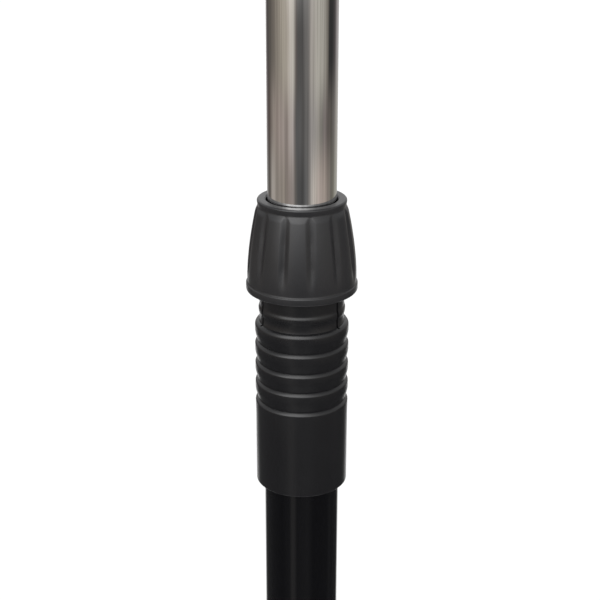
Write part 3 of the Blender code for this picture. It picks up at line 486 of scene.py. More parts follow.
# ---------------------------------------------------------------------------------------------
# Clutch sleeve, heights from the clutch datum
SLEEVE_R = 15.24 * MM
SLEEVE_EDGE = 0.35 * MM
CREST_R = SLEEVE_R + 0.09 * MM
NECK_R = 13.8 * MM
NECK_BORE = INNER_R + 0.6 * MM
NECK_EDGE = 0.8 * MM
SLEEVE_BOTTOM = -64.3 * MM
SHOULDER_Z = -8.0 * MM
NECK_TOP = 15.0 * MM
NECK_LOW = -5.6 * MM         # the shoulder's rounding starts below here
BORE_TAPER = 2 * MM          # the sleeve's bore narrows to the neck's over this height
GROOVE_HEIGHTS = [-13.45 * MM, -20.35 * MM, -27.0 * MM, -33.9 * MM]     # of the bottom lines
GROOVE_DEPTH = 0.85 * MM
GROOVE_STEPS = 14
FALL = 3.6 * MM              # a ring falls away over this height to the groove below it
FALL_POWER = 1.2
LIP = 1.1 * MM               # and the next ring's lip rises from it over this one
SKIRT_FROM = -39.0 * MM      # below here the sleeve is plain
BAND_Z = -2.3 * MM           # middle of the swelling round the neck
BAND_HALF = 1.7 * MM
BAND_RISE = 0.30 * MM
BAND_STEPS = 16
BAND_FLAT = 0.2              # share of the swelling's half height that is flat
BAND_APART = 0.5 * MM        # plain neck above the swelling
SLITS = 3
SLIT_FIRST = -35.0
SLIT_WIDTH = 0.8 * MM
SLIT_DEPTH = 8 * MM
SLIT_RISE = 1.2 * MM         # the slits start this far above the shoulder
SLIT_LENGTH = NECK_TOP - SHOULDER_Z + 4 * MM


def grip_groove(notch):
    """The long easy fall of the ring above a notch, then the short rounded lip of the ring below it."""
    shares = [index / GROOVE_STEPS for index in range(GROOVE_STEPS + 1)]
    fall = [(CREST_R - GROOVE_DEPTH * share ** FALL_POWER, notch + FALL * (1.0 - share)) for share in shares]
    lip = [(CREST_R - GROOVE_DEPTH * (1.0 - share) ** 2, notch - LIP * share) for share in shares[1:]]
    return fall + lip


def clutch_sleeve():
    z = CLUTCH_Z
    outline = [(NECK_BORE, z + NECK_TOP), (NECK_R - NECK_EDGE, z + NECK_TOP),
               (NECK_R, z + NECK_TOP - NECK_EDGE), (NECK_R, z + BAND_Z + BAND_HALF + BAND_APART)]
    for index in range(BAND_STEPS + 1):
        share = -1.0 + 2.0 * index / BAND_STEPS
        swell = BAND_RISE * (1.0 - smooth(BAND_FLAT, 1.0, abs(share)))
        outline.append((NECK_R + swell, z + BAND_Z - share * BAND_HALF))
    outline.append((NECK_R, z + NECK_LOW))
    outline += arc((NECK_R, z + SHOULDER_Z), CREST_R - NECK_R, 84, 0, 10)
    for height in GROOVE_HEIGHTS:
        outline += grip_groove(z + height)
    outline.append((SLEEVE_R, z + SKIRT_FROM))
    outline += arc((SLEEVE_R - SLEEVE_EDGE, z + SLEEVE_BOTTOM + SLEEVE_EDGE), SLEEVE_EDGE, 0, -90, 6)
    bore = TUBE_R + ON_TUBE
    bore_top = span("lower_tube")[1] + CLEAR
    outline += [(bore, z + SLEEVE_BOTTOM), (bore, bore_top), (NECK_BORE, bore_top + BORE_TAPER)]
    piece("sleeve_body", turned(outline, 192), SLEEVE, "stand_base", ["clutch_sleeve"],
          cuts=[neck_slits()])


def neck_slits():
    """Slits that let the sleeve's neck close on the inner tube."""
    bm = bmesh.new()
    middle = Matrix.Translation((NECK_R, 0, CLUTCH_Z + SHOULDER_Z + SLIT_LENGTH / 2 + SLIT_RISE))
    size = Matrix.Diagonal((SLIT_DEPTH, SLIT_WIDTH, SLIT_LENGTH, 1.0))
    for azimuth in azimuths(SLITS, SLIT_FIRST):
        bmesh.ops.create_cube(bm, size=1.0, matrix=turn_z(azimuth) @ middle @ size)
    return bm


# ---------------------------------------------------------------------------------------------
# Clutch knob, heights from the clutch datum
KNOB_LOW = 4.4 * MM
KNOB_HIGH = 34.6 * MM
LOBES = 12
RIB_AZIMUTH = math.radians(-80.0)   # middle of one of the grooves between lobes
RIB_HALF = 1.9 * MM
RIB_DEPTH = 0.62 * MM
RIB_FULL = 17.0 * MM         # the grooves reach their full depth at this height
RIB_TOP_FROM = 23.0 * MM     # and lose part of it from here up
RIB_TOP_LOSS = 0.5
LOBE_CROWN = 0.22 * MM       # the lobes fall away by this towards the grooves
THREAD_R = NECK_R + 0.5 * MM
THREAD_TOP = 17 * MM
HOLE_R = INNER_R + 0.45 * MM
HOLE_EDGE = 0.35 * MM
CAVITY_R = HOLE_R + 1.4 * MM
CAVITY_TOP = 30.2 * MM
RING_R = 14.3 * MM
RING_TAPER = 0.18 * MM
RING_EDGE = 0.65 * MM
RING_FOOT = (0.8 * MM, 0.25 * MM)   # the ring's lowest rows, above the shoulder
FLANGE_R = 18.05 * MM
FLANGE_TOP = 6.9 * MM
RIB_FROM = FLANGE_TOP + 0.3 * MM    # the grooves start at this height
FLANGE_EDGE = 0.4 * MM
RIM_EDGE = 0.5 * MM
BARREL_R = 17.62 * MM
BARREL_FROM = 9.0 * MM
BARREL_POWER = 1.697
BARREL_FALL = 2.57 * MM
BARREL_FALL_AT = 20.8 * MM
SHOULDER_TOP = 31.9 * MM
SHOULDER_SLOPE = 0.45
SHOULDER_OUT = 0.02 * MM     # the slope stands this far out of the ring
SHOULDER_BLEND = 0.12 * MM
LOBE_ROWS = 110
LOBE_CROWDING = 1.25         # above 1, the rows of the lobes crowd towards the shoulder
LOBES_LOW = FLANGE_TOP + 0.35 * MM


def soft_min(first, second, blend):
    """The smaller value, blended where the two are near."""
    share = min(1.0, max(0.0, 0.5 + 0.5 * (second - first) / blend))
    return second + (first - second) * share - blend * share * (1 - share)


def barrel(height):
    """Radius of the lobes' crests."""
    rise = max(0.0, height - BARREL_FROM)
    return BARREL_R - BARREL_FALL * (rise / BARREL_FALL_AT) ** BARREL_POWER


def knob_radius(height, angle):
    """Outer radius of the knob between its flange and its neck ring."""
    crest = barrel(height)
    pitch = 2 * math.pi / LOBES
    offset = (angle - RIB_AZIMUTH + pitch / 2) % pitch - pitch / 2
    across = abs(offset) * crest / RIB_HALF
    fade = smooth(RIB_FROM, RIB_FULL, height)
    fade *= 1.0 - RIB_TOP_LOSS * smooth(RIB_TOP_FROM, SHOULDER_TOP, height)
    groove = RIB_DEPTH * fade * (1.0 - smooth(0.0, 1.0, across))
    from_crown = (pitch / 2 - abs(offset)) / (pitch / 2)
    crown = LOBE_CROWN * fade * from_crown ** 2
    radius = crest - groove - crown
    slope = RING_R + SHOULDER_OUT + (SHOULDER_TOP - height) * SHOULDER_SLOPE
    return soft_min(radius, max(RING_R, slope), SHOULDER_BLEND)


def clutch_knob():
    """Lobed knob. The rows of its outline that carry BARREL_R take the lobes' radius instead."""
    outline = [(HOLE_R + HOLE_EDGE, KNOB_HIGH)]
    outline += arc((RING_R - RING_EDGE, KNOB_HIGH - RING_EDGE), RING_EDGE, 90, 0, 8)
    outline += [(RING_R - RING_TAPER, SHOULDER_TOP + rise) for rise in RING_FOOT]
    for index in range(LOBE_ROWS + 1):
        share = (index / LOBE_ROWS) ** LOBE_CROWDING
        outline.append((BARREL_R, SHOULDER_TOP + (LOBES_LOW - SHOULDER_TOP) * share))
    outline += arc((FLANGE_R - FLANGE_EDGE, FLANGE_TOP - FLANGE_EDGE), FLANGE_EDGE, 75, 0, 5)
    outline += arc((FLANGE_R - RIM_EDGE, KNOB_LOW + RIM_EDGE), RIM_EDGE, 0, -90, 6)
    outline += [(THREAD_R, KNOB_LOW), (THREAD_R, THREAD_TOP), (CAVITY_R, CAVITY_TOP), (HOLE_R, CAVITY_TOP),
                (HOLE_R, KNOB_HIGH - HOLE_EDGE)]

    def lobed(radius, angle, height):
        return knob_radius(height - CLUTCH_Z, angle) if radius == BARREL_R else radius

    bm = turned([(radius, CLUTCH_Z + height) for radius, height in outline], 1080, lobed)
    piece("twist_knob", bm, KNOB, "clutch_knob", ["clutch_knob"], sharp=40.0)


# ---------------------------------------------------------------------------------------------
# Column ends and the clamp ring
FOOT_R = TUBE_R + 2 * MM
FOOT_LIP = 1.6 * MM
FOOT_GROOVES = (0.68, 0.45)  # heights of the mould grooves, as shares of the foot's flange
PLUG_EDGE = 0.8 * MM
MOULD_GROOVE_R = 0.5 * MM
MOULD_GROOVE_OUT = 0.15 * MM     # its centre is this far outside the surface
INNER_LOW, INNER_TOP = span("inner_tube")
CAP_R = INNER_R + 2 * MM
CAP_HEIGHT = 6 * MM
CAP_EDGE = 0.7 * MM
CAP_FOOT = 0.6 * MM          # rounding of the cap's lower edge
CAP_GROOVE_R = 0.45 * MM
FINE_GROOVE_OUT = 0.1 * MM
POST_R = 6 * MM
POST_FILLET = 0.6 * MM
CLAMP_BORE = INNER_R + 0.5 * MM
CLAMP_TOP_R = INNER_R + 1.3 * MM
CLAMP_BAND = 1.5 * MM
CLAMP_GAP = 1.8 * MM


def foot_plug():
    """Rubber foot with two mould grooves, its spigot in the tube's lower end."""
    low, high = span("column_foot_plug")
    flange = span("lower_tube")[0] - CLEAR
    spigot = TUBE_BORE - RUN
    outline = [(0.0, high)] + arc((spigot - PLUG_EDGE, high - PLUG_EDGE), PLUG_EDGE, 90, 0, 4)
    outline += [(spigot, flange)] + arc((FOOT_R - PLUG_EDGE, flange - PLUG_EDGE), PLUG_EDGE, 90, 0, 6)
    for share in FOOT_GROOVES:
        outline += arc((FOOT_R + MOULD_GROOVE_OUT, share * flange), MOULD_GROOVE_R, 110, 250, 6)
    outline += arc((FOOT_R - FOOT_LIP, low + FOOT_LIP), FOOT_LIP, 0, -90, 6) + [(0.0, low)]
    piece("column_foot", turned(outline), RUBBER, "stand_base", ["column_foot_plug"])


def guide_bush():
    """Plug in the inner tube's lower end, its flange running in the lower tube."""
    low, high = span("guide_bush")
    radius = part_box("guide_bush")[1][0]
    flange = INNER_LOW - CLEAR
    spigot = INNER_BORE - RUN
    outline = [(0.0, high)] + arc((spigot - PLUG_EDGE, high - PLUG_EDGE), PLUG_EDGE, 90, 0, 4)
    outline += [(spigot, flange), (radius, flange)]
    outline += arc((radius - PLUG_EDGE, low + PLUG_EDGE), PLUG_EDGE, 0, -90, 5) + [(0.0, low)]
    piece("bush_body", turned(outline), NYLON, "column", ["guide_bush"])


def top_insert():
    """Cap on the inner tube, with a spigot down into it and a post up into the head."""
    low, high = span("top_insert")
    cap_low = INNER_TOP + CLEAR
    cap_top = cap_low + CAP_HEIGHT
    spigot = INNER_BORE - RUN
    outline = [(0.0, high)] + arc((POST_R - PLUG_EDGE, high - PLUG_EDGE), PLUG_EDGE, 90, 0, 5)
    outline += arc((POST_R + POST_FILLET, cap_top + POST_FILLET), POST_FILLET, 180, 270, 4)
    outline += arc((CAP_R - CAP_EDGE, cap_top - CAP_EDGE), CAP_EDGE, 90, 0, 6)
    outline += arc((CAP_R + FINE_GROOVE_OUT, (cap_low + cap_top) / 2), CAP_GROOVE_R, 105, 255, 6)
    outline += arc((CAP_R - CAP_FOOT, cap_low + CAP_FOOT), CAP_FOOT, 0, -90, 5)
    outline += [(spigot, cap_low), (spigot, low), (0.0, low)]
    piece("insert_body", turned(outline), KNOB, "column", ["top_insert"])


def clamp_ring():
    """Split taper ring inside the knob."""
    low, high = span("clamp_ring")
    radius = -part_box("clamp_ring")[0][0]
    outline = [(CLAMP_BORE, high), (CLAMP_TOP_R, high), (radius, low + CLAMP_BAND), (radius, low),
               (CLAMP_BORE, low)]
    gap = box((CLAMP_BORE - 2 * MM, -CLAMP_GAP / 2, low - MM), (radius + MM, CLAMP_GAP / 2, high + MM))
    piece("taper_ring", turned(outline), NYLON, "clamp_ring", ["clamp_ring"], cuts=[gap])


# ---------------------------------------------------------------------------------------------
# Tripod
LEG_COUNT = 3
LEG_FIRST = -90.0
PIVOT_R = TUBE_R + 11.5 * MM
HUB_PIVOT_Z = 24 * MM
ARM = 130 * MM
SPREAD = math.radians(55)
COLLAR_PIVOT_Z = HUB_PIVOT_Z + 2 * ARM * math.cos(SPREAD)
FOOT_CENTRE_Z = 9 * MM
LEG_END = 2 * ARM + (HUB_PIVOT_Z - FOOT_CENTRE_Z) / math.cos(SPREAD) + 2 * MM
LEG_HALF = 8 * MM
LEG_WALL = 1.5 * MM
LEG_WEB = 7.5 * MM           # from the leg's axis out to the web's face
LEG_IN = 6.5 * MM            # and in to the flanges' rims
LEG_HEAD = 5 * MM            # the channel's end above its pivot
LEG_EDGE = 0.35 * MM
LEG_CORNER = 2.4 * MM
BALL_R = 11 * MM
BALL_SINK = 0.72             # share of the ball's radius below the channel's end
BALL_FROM = 46.0             # degrees above its equator where the ball's outline starts
BALL_STEPS = 44
BALL_GROOVES = (8, 12, 16)   # steps of the ball's outline that are grooves
BALL_GROOVE = 0.35 * MM
FOOT_TONGUE = 14 * MM
FOOT_ROOT = 4 * MM
BELOW_FLOOR = ((-0.6, -0.6, -0.1), (0.6, 0.6, 0.0))     # what is cut off the feet
BRACE_THICK = 5 * MM
BRACE_HALF = 5 * MM
BRACE_EDGE = 0.5 * MM
CLEVIS_PLATE = 3 * MM
CLEVIS_R = 5.5 * MM
LUG_HALF = 5 * MM
PIN_R = 2.0 * MM
PIN_HOLE_R = PIN_R + RUN
PIN_HEAD_R = 3.6 * MM
PIN_HEAD = 1.2 * MM
CASTING_BORE = TUBE_R + ON_TUBE
CASTING_R = CASTING_BORE + 3.6 * MM
CASTING_EDGE = 1.0 * MM
ROOT = CASTING_BORE + 1.5 * MM
BOSS_R = 6.5 * MM
BOSS_OUT = TUBE_R + 10.5 * MM
SCREW_Z = COLLAR_PIVOT_Z + 2 * MM
SCREW_R = 2.5 * MM
SCREW_TIP = 0.4 * MM         # from the screw's tip to the tube
LOCK_R = 10 * MM
LOCK_LENGTH = 14 * MM
LOCK_EDGE = 2 * MM
LOCK_FACE = 0.8 * MM         # how deep the knob's face is sunk
LOCK_RIM = 3.6 * MM          # width of the rim round it
LOCK_SLOPE = 0.4 * MM        # and of the slope down to it
LOCK_BACK = 5 * MM           # below here the knob narrows to the boss
LOCK_BACK_EDGE = 1 * MM
LOCK_SPREAD = 2 * MM
LOCK_SOFT = 0.35 * MM        # rounding of the grips' edges
LOCK_GRIPS = 6
LOCK_GRIP_R = 3 * MM
LOCK_GRIP_AT = LOCK_R + 1.6 * MM
LOCK_GRIP_LOW = 3.5 * MM
PAST = 5 * MM                # how far a cutter runs past a knob's face


def pin_holes(height):
    """Cutter for the pin holes of all three legs, in a hub or collar."""
    bm = bmesh.new()
    for azimuth in azimuths(LEG_COUNT, LEG_FIRST):
        turn = turn_z(azimuth)
        add_cylinder(bm, PIN_HOLE_R, turn @ Vector((PIVOT_R, -2 * LEG_HALF, height)),
                     turn @ Vector((PIVOT_R, 2 * LEG_HALF, height)), 32)
    return bm


def casting(node):
    """The turned ring of the hub or the collar, as high as its node."""
    low, high = span(node)
    return turned(ring_outline(CASTING_R, CASTING_BORE, low, high, CASTING_EDGE))


def base_hub():
    """Fixed ring with a pair of clevis plates for each brace."""
    gap = BRACE_THICK / 2 + CLEAR
    tabs = []
    for azimuth in azimuths(LEG_COUNT, LEG_FIRST):
        stand = turn_z(azimuth) @ Matrix.Translation((0, 0, HUB_PIVOT_Z))
        for near, far in ((gap, gap + CLEVIS_PLATE), (-gap - CLEVIS_PLATE, -gap)):
            tabs.append(tab(ROOT, PIVOT_R, CLEVIS_R, (near, far), stand))
    piece("hub_casting", casting("base_hub"), POWDER, "stand_base", ["base_hub"],
          joins=tabs, cuts=[pin_holes(HUB_PIVOT_Z)])


def leg_collar():
    """Sliding ring with a lug for each leg and a boss for the lock screw."""
    parts = [cylinder(BOSS_R, (0, ROOT, SCREW_Z), (0, BOSS_OUT, SCREW_Z), 64)]
    for azimuth in azimuths(LEG_COUNT, LEG_FIRST):
        stand = turn_z(azimuth) @ Matrix.Translation((0, 0, COLLAR_PIVOT_Z))
        parts.append(tab(ROOT, PIVOT_R, CLEVIS_R, (-LUG_HALF, LUG_HALF), stand))
    screw_hole = cylinder(SCREW_R + RUN, (0, TUBE_R - 2 * MM, SCREW_Z), (0, BOSS_OUT + 2 * MM, SCREW_Z))
    piece("collar_casting", casting("leg_collar"), POWDER, "leg_collar", ["leg_collar"],
          joins=parts, cuts=[pin_holes(COLLAR_PIVOT_Z), screw_hole])


def lock_knob():
    """Hand screw that locks the collar: a gripped knob with a sunk face, and its shank."""
    tip = TUBE_R + SCREW_TIP - BOSS_OUT - CLEAR
    face = LOCK_LENGTH - LOCK_FACE
    rim = LOCK_R - LOCK_RIM
    outline = [(0.0, face), (rim - LOCK_SLOPE, face), (rim, LOCK_LENGTH)]
    outline += arc((LOCK_R - LOCK_EDGE, LOCK_LENGTH - LOCK_EDGE), LOCK_EDGE, 90, 0, 8)
    outline += [(LOCK_R, LOCK_BACK)]
    outline += arc((LOCK_R - LOCK_BACK_EDGE, LOCK_BACK - LOCK_BACK_EDGE), LOCK_BACK_EDGE, 0, -60, 4)
    outline += [(BOSS_R, LOCK_SPREAD), (BOSS_R, 0), (SCREW_R, 0), (SCREW_R, tip), (0.0, tip)]
    grips = bmesh.new()
    for azimuth in azimuths(LOCK_GRIPS, 0.0):
        add_cylinder(grips, LOCK_GRIP_R, polar(LOCK_GRIP_AT, azimuth, LOCK_GRIP_LOW),
                     polar(LOCK_GRIP_AT, azimuth, LOCK_LENGTH + PAST), 40)
    piece("lock_handle", turned(outline), KNOB, "collar_lock", ["collar_lock_knob"],
          matrix=pose((0, BOSS_OUT + CLEAR, SCREW_Z), (-math.pi / 2, 0, 0)), cuts=[grips],
          edge=LOCK_SOFT)


def rivet(name, half_width, at, turn, body):
    """A rivet across a fork, with domed heads."""
    shoulder = half_width + CLEAR
    dome = [(PIN_HEAD_R * math.sin(math.radians(angle)), PIN_HEAD * math.cos(math.radians(angle)))
            for angle in (20, 40, 60, 75, 90)]
    outline = [(0.0, shoulder + PIN_HEAD)] + [(r, shoulder + z) for r, z in dome]
    outline += [(PIN_R, shoulder), (PIN_R, -shoulder)]
    outline += [(r, -shoulder - z) for r, z in reversed(dome)] + [(0.0, -shoulder - PIN_HEAD)]
    piece(f"{name}_rivet", turned(outline, 40), ZINC, body, [name], matrix=pose(at, turn))


def channel_section():
    """The leg's folded channel, seen along it: a web and two flanges with rounded bends."""
    inner = LEG_HALF - LEG_WALL
    bend = LEG_CORNER - LEG_WALL
    centre_x = LEG_WEB - LEG_CORNER
    centre_y = LEG_HALF - LEG_CORNER
    return ([(-LEG_IN, -LEG_HALF)] + arc((centre_x, -centre_y), LEG_CORNER, -90, 0, 8)
            + arc((centre_x, centre_y), LEG_CORNER, 0, 90, 8)
            + [(-LEG_IN, LEG_HALF), (-LEG_IN, inner)]
            + arc((centre_x, centre_y), bend, 90, 0, 5) + arc((centre_x, -centre_y), bend, 0, -90, 5)
            + [(-LEG_IN, -inner)])


def leg(number, azimuth):
    """One leg's channel and foot, and the three rivets it hangs on."""
    body = f"leg_{number}"
    at = polar(PIVOT_R, azimuth, COLLAR_PIVOT_Z)
    frame_matrix = pose(at, (0, -SPREAD, azimuth))
    length = LEG_END + LEG_HEAD
    bar = plate([channel_section()], length, LEG_EDGE, Matrix.Translation((0, 0, LEG_HEAD - length / 2)))
    holes = bmesh.new()
    for down in (0.0, ARM):
        add_cylinder(holes, PIN_HOLE_R, (0, -2 * LEG_HALF, -down), (0, 2 * LEG_HALF, -down), 32)
    piece(f"leg_channel_{number}", bar, POWDER, body, [body], matrix=frame_matrix,
          cuts=[holes])
    leg_foot(number, frame_matrix)
    cross = (math.pi / 2, 0, azimuth)
    elbow = polar(PIVOT_R + ARM * math.sin(SPREAD), azimuth, COLLAR_PIVOT_Z - ARM * math.cos(SPREAD))
    rivet(f"collar_pin_{number}", LEG_HALF, at, cross, body)
    rivet(f"brace_pin_{number}", LEG_HALF, elbow, cross, body)
    rivet(f"hub_pin_{number}", BRACE_THICK / 2 + CLEAR + CLEVIS_PLATE, polar(PIVOT_R, azimuth, HUB_PIVOT_Z),
          cross, "stand_base")


def leg_foot(number, frame_matrix):
    """Rubber ball foot with mould grooves and a flat tread."""
    top = -LEG_END - CLEAR
    centre = top - BALL_SINK * BALL_R
    outline = [(0.0, top)]
    for step in range(BALL_STEPS):
        angle = math.radians(BALL_FROM - (BALL_FROM + 90.0) * step / BALL_STEPS)
        radius = BALL_R - (BALL_GROOVE if step in BALL_GROOVES else 0.0)
        outline.append((radius * math.cos(angle), centre + radius * math.sin(angle)))
    outline.append((0.0, centre - BALL_R))
    tongue_half = LEG_HALF - LEG_WALL - CLEAR
    tongue = box((-LEG_IN + LEG_WALL, -tongue_half, -LEG_END - FOOT_ROOT),
                 (LEG_WEB - LEG_WALL - CLEAR, tongue_half, -LEG_END + FOOT_TONGUE))
    ground = box(*BELOW_FLOOR, frame_matrix.inverted())
    piece(f"leg_ball_{number}", turned(outline, 64), RUBBER, f"leg_{number}", [f"leg_foot_{number}"],
          matrix=frame_matrix, joins=[tongue], cuts=[ground])


def brace(number, azimuth):
    """Flat bar from the hub to the middle of a leg."""
    loops = [arc((0, 0), BRACE_HALF, 180, 360, 20) + arc((0, ARM), BRACE_HALF, 0, 180, 20)]
    loops += [round_loop(0, height, PIN_HOLE_R) for height in (0.0, ARM)]
    bar = plate(loops, BRACE_THICK, BRACE_EDGE, Matrix.Rotation(math.pi / 2, 4, "X"))
    piece(f"brace_bar_{number}", bar, POWDER, f"brace_{number}", [f"brace_{number}"],
          matrix=pose(polar(PIVOT_R, azimuth, HUB_PIVOT_Z), (0, SPREAD, azimuth)))


# ---------------------------------------------------------------------------------------------
# Head
HEAD_LOW = span("tilt_head")[0]
HEAD_R = 12 * MM
HEAD_TOP = HEAD_LOW + 24 * MM
HEAD_EDGE = 1.8 * MM
HEAD_FOOT = 0.8 * MM         # rounding of its lower edge
HEAD_GROOVE_R = 0.5 * MM
HEAD_GROOVE_UP = 4 * MM
PIVOT_Z = HEAD_TOP + 15 * MM
TONGUE_HALF = 6 * MM
TONGUE_R = 11 * MM
TONGUE_ROOT = 2 * MM
BOLT_R = 3 * MM
BOLT_HOLE_R = BOLT_R + RUN
BOLT_HEAD = 4 * MM
BOLT_HEAD_R = 6.5 * MM
BOLT_HEAD_EDGE = 0.5 * MM
BOLT_THREAD = 10 * MM
WASHER = 1.5 * MM
WASHER_R = 8.5 * MM
WASHER_EDGE = 0.35 * MM
EAR_IN = TONGUE_HALF + WASHER + 2 * CLEAR
EAR = 3 * MM
EAR_OUT = EAR_IN + EAR
EAR_R = 11 * MM
EAR_ROOT = 1 * MM
TILT_KNOB_R = 17 * MM
TILT_KNOB_LENGTH = 16 * MM
TILT_KNOB_HUB = 7 * MM
TILT_KNOB_EDGE = 2.4 * MM
TILT_KNOB_SUNK = 1.2 * MM    # how deep the knob's face is sunk
TILT_KNOB_RIM = 6.4 * MM     # width of the rim round it
TILT_KNOB_SLOPE = 0.6 * MM   # and of the slope down to it
TILT_KNOB_BACK = 7.8 * MM    # from the face to where the back starts
TILT_KNOB_BACK_EDGE = 1.2 * MM
TILT_KNOB_SPREAD = 11 * MM   # from the face to the hub
TILT_KNOB_SOFT = 0.5 * MM    # rounding of the scallops' edges
SCALLOPS = 5
SCALLOP_R = 7 * MM
SCALLOP_AT = TILT_KNOB_R + 3.2 * MM
SCALLOP_LOW = 0.5 * MM
SCALLOP_FIRST = 18.0
LEAN = math.radians(20)
DESK = pose((0, 0, PIVOT_Z), (LEAN, 0, 0))


def tilt_head():
    """Round block on the insert's post, with the tongue that the desk tilts on."""
    socket_top = span("top_insert")[1] + CLEAR
    bore = POST_R + RUN
    outline = [(0.0, HEAD_TOP)] + arc((HEAD_R - HEAD_EDGE, HEAD_TOP - HEAD_EDGE), HEAD_EDGE, 90, 0, 8)
    outline += arc((HEAD_R + FINE_GROOVE_OUT, HEAD_LOW + HEAD_GROOVE_UP), HEAD_GROOVE_R, 105, 255, 6)
    outline += arc((HEAD_R - HEAD_FOOT, HEAD_LOW + HEAD_FOOT), HEAD_FOOT, 0, -90, 5)
    outline += [(bore, HEAD_LOW), (bore, socket_top), (0.0, socket_top)]
    upright = Matrix.Translation((0, 0, PIVOT_Z)) @ Matrix.Rotation(-math.pi / 2, 4, "Y")
    tongue = tab(HEAD_TOP - TONGUE_ROOT - PIVOT_Z, 0, TONGUE_R, (-TONGUE_HALF, TONGUE_HALF),
                 upright @ Matrix.Rotation(math.pi / 2, 4, "X"))
    hole = cylinder(BOLT_HOLE_R, (-2 * TONGUE_HALF, 0, PIVOT_Z), (2 * TONGUE_HALF, 0, PIVOT_Z))
    piece("head_block", turned(outline), KNOB, "head", ["tilt_head"], joins=[tongue],
          cuts=[hole])


def washers():
    """The friction washers either side of the tongue."""
    for side, number in ((-1, 1), (1, 2)):
        at = DESK @ pose((side * (TONGUE_HALF + CLEAR), 0, 0), (0, side * math.pi / 2, 0))
        outline = ring_outline(WASHER_R, BOLT_HOLE_R, 0.0, WASHER, WASHER_EDGE)
        piece(f"washer_{number}", turned(outline, 64), NYLON, "desk", [f"friction_washer_{number}"],
              matrix=at)


def tilt_bolt():
    """Hexagon bolt: chamfered head on the left, shank through the fork."""
    middle = EAR_OUT + CLEAR + BOLT_HEAD / 2
    hexagon = [(BOLT_HEAD_R * math.cos(azimuth), BOLT_HEAD_R * math.sin(azimuth))
               for azimuth in azimuths(6, 0.0)]
    lie = Matrix.Translation((-middle, 0, 0)) @ Matrix.Rotation(math.pi / 2, 4, "Y")
    shank = cylinder(BOLT_R, (-middle, 0, 0), (EAR_OUT + CLEAR + BOLT_THREAD, 0, 0))
    piece("tilt_screw", plate([hexagon], BOLT_HEAD, BOLT_HEAD_EDGE, lie), ZINC, "desk", ["tilt_bolt"],
          matrix=DESK, joins=[shank])


def tilt_knob():
    """Five-lobed hand knob with a sunk face."""
    radius, length = TILT_KNOB_R, TILT_KNOB_LENGTH
    depth = BOLT_THREAD + 2 * CLEAR
    face = length - TILT_KNOB_SUNK
    rim = radius - TILT_KNOB_RIM
    outline = [(0.0, face), (rim - TILT_KNOB_SLOPE, face), (rim, length)]
    outline += arc((radius - TILT_KNOB_EDGE, length - TILT_KNOB_EDGE), TILT_KNOB_EDGE, 90, 0, 8)
    outline += arc((radius - TILT_KNOB_BACK_EDGE, length - TILT_KNOB_BACK), TILT_KNOB_BACK_EDGE, 0, -60, 5)
    outline += [(TILT_KNOB_HUB + 1 * MM, length - TILT_KNOB_SPREAD), (TILT_KNOB_HUB, 0), (BOLT_HOLE_R, 0),
                (BOLT_HOLE_R, depth), (0.0, depth)]
    scallops = bmesh.new()
    for azimuth in azimuths(SCALLOPS, SCALLOP_FIRST):
        add_cylinder(scallops, SCALLOP_R, polar(SCALLOP_AT, azimuth, SCALLOP_LOW),
                     polar(SCALLOP_AT, azimuth, length + PAST), 64)
    piece("tilt_handle", turned(outline, 120), KNOB, "tilt_knob", ["tilt_knob"],
          matrix=DESK @ pose((EAR_OUT + CLEAR, 0, 0), (0, math.pi / 2, 0)), cuts=[scallops],
          edge=TILT_KNOB_SOFT)


# ---------------------------------------------------------------------------------------------
# Desk, in its own axes: x across, y out towards the music, z up the panel. u is a height up the panel.
DESK_HALF = 250 * MM
DESK_LOW = 95 * MM
DESK_HIGH = 235 * MM
DESK_CORNER = 22 * MM
SHEET = 1.5 * MM
SHEET_EDGE = 0.3 * MM
BRACKET_FRONT = 30 * MM
BRACKET_SHEET = 2.5 * MM
BRACKET_HALF = (32 * MM, 45 * MM)
BRACKET_CORNER = 5 * MM
BRACKET_EDGE = 0.5 * MM
BRACKET_RIVET_IN = (9 * MM, 10 * MM)
PANEL_BACK = BRACKET_FRONT + CLEAR
PANEL_FRONT = PANEL_BACK + SHEET
SLOT_LENGTH = 62 * MM
SLOT_HALF = 6.5 * MM
SLOT_COLUMNS = 5
SLOT_ROWS = 6
SLOT_MARGINS = (40 * MM, 50 * MM, 38 * MM)      # at the sides, below and above
SLOT_FREE = 3 * MM           # no slot is this near the bracket
RIVET_R = 2.4 * MM
RIVET_HEAD_R = 4.6 * MM
RIVET_HEAD = 1.8 * MM
RIVET_TAIL_R = 0.85 * RIVET_HEAD_R
RIVET_TAIL = 0.7 * RIVET_HEAD
LEDGE_DEPTH = 58 * MM
LEDGE_LIP = 16 * MM
LEDGE_FLANGE = 22 * MM
LEDGE_BEND = 2.2 * MM
LEDGE_RIVETS = 4
LEDGE_RIVET_IN = 28 * MM
STAND_UP = Matrix.Rotation(math.pi / 2, 4, "X")


def slot_loops():
    """The panel's slots, all but those that the bracket would cover."""
    side, below, above = SLOT_MARGINS
    reach = DESK_HALF - side - SLOT_LENGTH / 2
    rise = (DESK_LOW + DESK_HIGH - below - above) / (SLOT_ROWS - 1)
    straight = SLOT_LENGTH / 2 - SLOT_HALF
    loops = []
    for row in range(SLOT_ROWS):
        for column in range(SLOT_COLUMNS):
            x = -reach + 2 * reach * column / (SLOT_COLUMNS - 1)
            u = -DESK_LOW + below + row * rise
            behind = (abs(x) < BRACKET_HALF[0] + SLOT_LENGTH / 2 + SLOT_FREE
                      and abs(u) < BRACKET_HALF[1] + SLOT_HALF + SLOT_FREE)
            if not behind:
                loops.append(arc((x + straight, u), SLOT_HALF, -90, 90, 14)
                             + arc((x - straight, u), SLOT_HALF, 90, 270, 14))
    return loops


